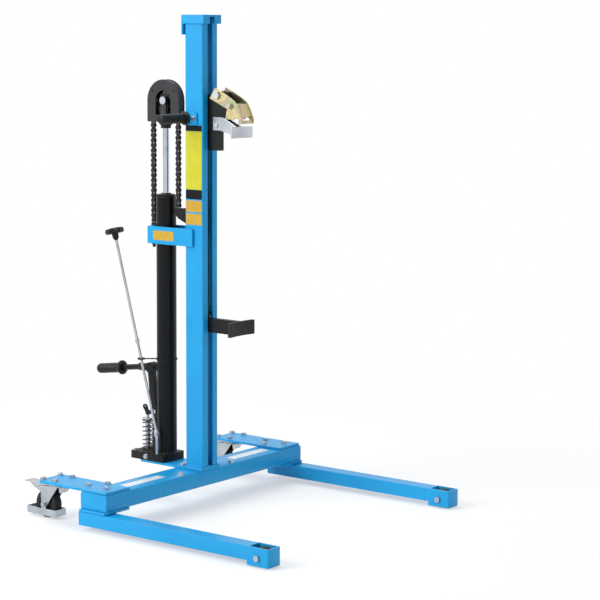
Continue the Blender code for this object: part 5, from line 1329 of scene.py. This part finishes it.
@dataclass
class Studio:
    """White studio: seamless floor, softboxes and the camera.

    Attributes:
        eye: Where the camera stands.
        azimuth: Degrees that it is turned from looking along +Y.
        down: Degrees that it looks down.
        roll: Degrees that it leans.
        lens: Focal length in mm, on a sensor 36 mm wide.
        aim: What the softboxes look at.
        softboxes: Name, place, width and watts of each.
        ambient: Strength of the grey light from all round.
        floor_size: Half the floor's width.
        fade: Distances from the middle where the floor's white starts and is complete.
        fade_least: Share of that white in the middle.
    """

    eye: Place = (3.8613, -4.6681, 1.4739)
    azimuth: float = 37.5
    down: float = 7.7
    roll: float = -0.3
    lens: float = 120.0
    aim: Place = (-0.1, 0, 0.7)
    softboxes: tuple[tuple[str, Place, float, float], ...] = (
        ("key_softbox", (-2.4, -4.6, 3.4), 3.2, 250.0),
        ("top_softbox", (-1.2, 0.4, 4.6), 3.6, 110.0),
        ("fill_softbox", (4.2, 1.6, 2.4), 2.4, 18.0))
    ambient: float = 0.46
    floor_size: float = 30.0
    fade: tuple[float, float] = (0.6, 2.2)
    fade_least: float = 0.5

    def build(self) -> None:
        """Makes floor, world, lights and camera."""
        bpy.context.scene.view_settings.view_transform = "Standard"
        self.floor()
        self.world()
        for softbox in self.softboxes:
            self.softbox(*softbox)
        self.camera()

    def shown(self, tree: bpy.types.NodeTree) -> bpy.types.NodeSocket:
        """Marks the rays that show the background: from the camera, off gloss and through glass.

        Args:
            tree: Tree that takes the nodes.

        Returns:
            The socket that gives 1 for those rays and 0 for all others.
        """
        path = add_node(tree, "ShaderNodeLightPath")
        seen = add_node(tree, "ShaderNodeMath", {
            0: path.outputs["Is Camera Ray"], 1: path.outputs["Is Glossy Ray"]}, operation="MAXIMUM")
        through = add_node(tree, "ShaderNodeMath", {
            0: seen.outputs["Value"], 1: path.outputs["Is Transmission Ray"]}, operation="MAXIMUM")
        return through.outputs["Value"]

    def floor(self) -> None:
        """Pale floor that takes a soft shadow and fades into the white behind it."""
        data = bpy.data.meshes.new("floor")
        size = self.floor_size
        corners = [(-size, -size, 0), (size, -size, 0), (size, size, 0), (-size, size, 0)]
        data.from_pydata(corners, [], [(0, 1, 2, 3)])
        made = bpy.data.objects.new("floor", data)
        bpy.context.scene.collection.objects.link(made)
        paper = bpy.data.materials.new("matt studio paper, white")
        paper.use_nodes = True
        tree = paper.node_tree
        tree.nodes.clear()
        place = add_node(tree, "ShaderNodeTexCoord").outputs["Object"]
        away = add_node(tree, "ShaderNodeVectorMath", {0: place}, operation="LENGTH")
        fade = add_node(tree, "ShaderNodeMapRange", {
            "Value": away.outputs["Value"], "From Min": self.fade[0], "From Max": self.fade[1],
            "To Min": self.fade_least}, interpolation_type="SMOOTHSTEP")
        share = add_node(tree, "ShaderNodeMath", {0: fade.outputs["Result"], 1: self.shown(tree)},
                         operation="MULTIPLY")
        matt = add_node(tree, "ShaderNodeBsdfDiffuse", {"Color": linear("#fbfbfb")})
        glow = add_node(tree, "ShaderNodeEmission", {"Color": (1, 1, 1, 1), "Strength": 1.0})
        mixed = add_node(tree, "ShaderNodeMixShader", {
            0: share.outputs["Value"], 1: matt.outputs["BSDF"], 2: glow.outputs["Emission"]})
        out = add_node(tree, "ShaderNodeOutputMaterial")
        tree.links.new(mixed.outputs["Shader"], out.inputs["Surface"])
        data.materials.append(paper)

    def world(self) -> None:
        """White to the camera, gloss and glass, and a softer grey light on everything else."""
        world = bpy.data.worlds.new("studio")
        bpy.context.scene.world = world
        world.use_nodes = True
        tree = world.node_tree
        tree.nodes.clear()
        light = add_node(tree, "ShaderNodeBackground", {"Color": linear("#eef2f6"), "Strength": self.ambient})
        seen = add_node(tree, "ShaderNodeBackground", {"Color": (1, 1, 1, 1), "Strength": 1.0})
        mixed = add_node(tree, "ShaderNodeMixShader", {
            0: self.shown(tree), 1: light.outputs["Background"], 2: seen.outputs["Background"]})
        out = add_node(tree, "ShaderNodeOutputWorld")
        tree.links.new(mixed.outputs["Shader"], out.inputs["Surface"])

    def softbox(self, name: str, at: Place, size: float, power: float) -> None:
        """Square area light that looks at the middle of the lifter.

        Args:
            name: Its name.
            at: Where it hangs.
            size: Its width.
            power: Its watts.
        """
        light = bpy.data.lights.new(name, "AREA")
        light.size = size
        light.energy = power
        made = bpy.data.objects.new(name, light)
        made.location = at
        made.rotation_euler = (Vector(self.aim) - Vector(at)).to_track_quat("-Z", "Y").to_euler()
        bpy.context.scene.collection.objects.link(made)

    def camera(self) -> None:
        """Camera at the photograph's place, turn and lens."""
        az, down, roll = radians(self.azimuth), radians(self.down), radians(self.roll)
        ahead = Vector((-sin(az) * cos(down), cos(az) * cos(down), -sin(down)))
        right = Vector((cos(az), sin(az), 0))
        below = ahead.cross(right)
        level = cos(roll) * right + sin(roll) * below
        under = -sin(roll) * right + cos(roll) * below
        turn = Matrix((level, -under, -ahead)).transposed()
        data = bpy.data.cameras.new("camera")
        data.lens = self.lens
        data.sensor_width = 36.0
        data.clip_start = 0.1
        data.clip_end = 200.0
        made = bpy.data.objects.new("camera", data)
        made.matrix_world = Matrix.Translation(self.eye) @ turn.to_4x4()
        bpy.context.scene.collection.objects.link(made)
        bpy.context.scene.camera = made


def main() -> None:
    """Builds the studio and every sub-assembly, then closes the frame."""
    logging.basicConfig(level=logging.INFO, format="%(name)s: %(message)s")
    repeat = Repeat()
    Studio().build()
    for assembly in (Chassis(repeat), Casters(), Mast(repeat), Jack(repeat), LiftChain(repeat),
                     Carriage(repeat)):
        assembly.build()
        log.info("%s done", type(assembly).__name__)
    bpy.context.view_layer.update()


if __name__ == "__main__":
    main()
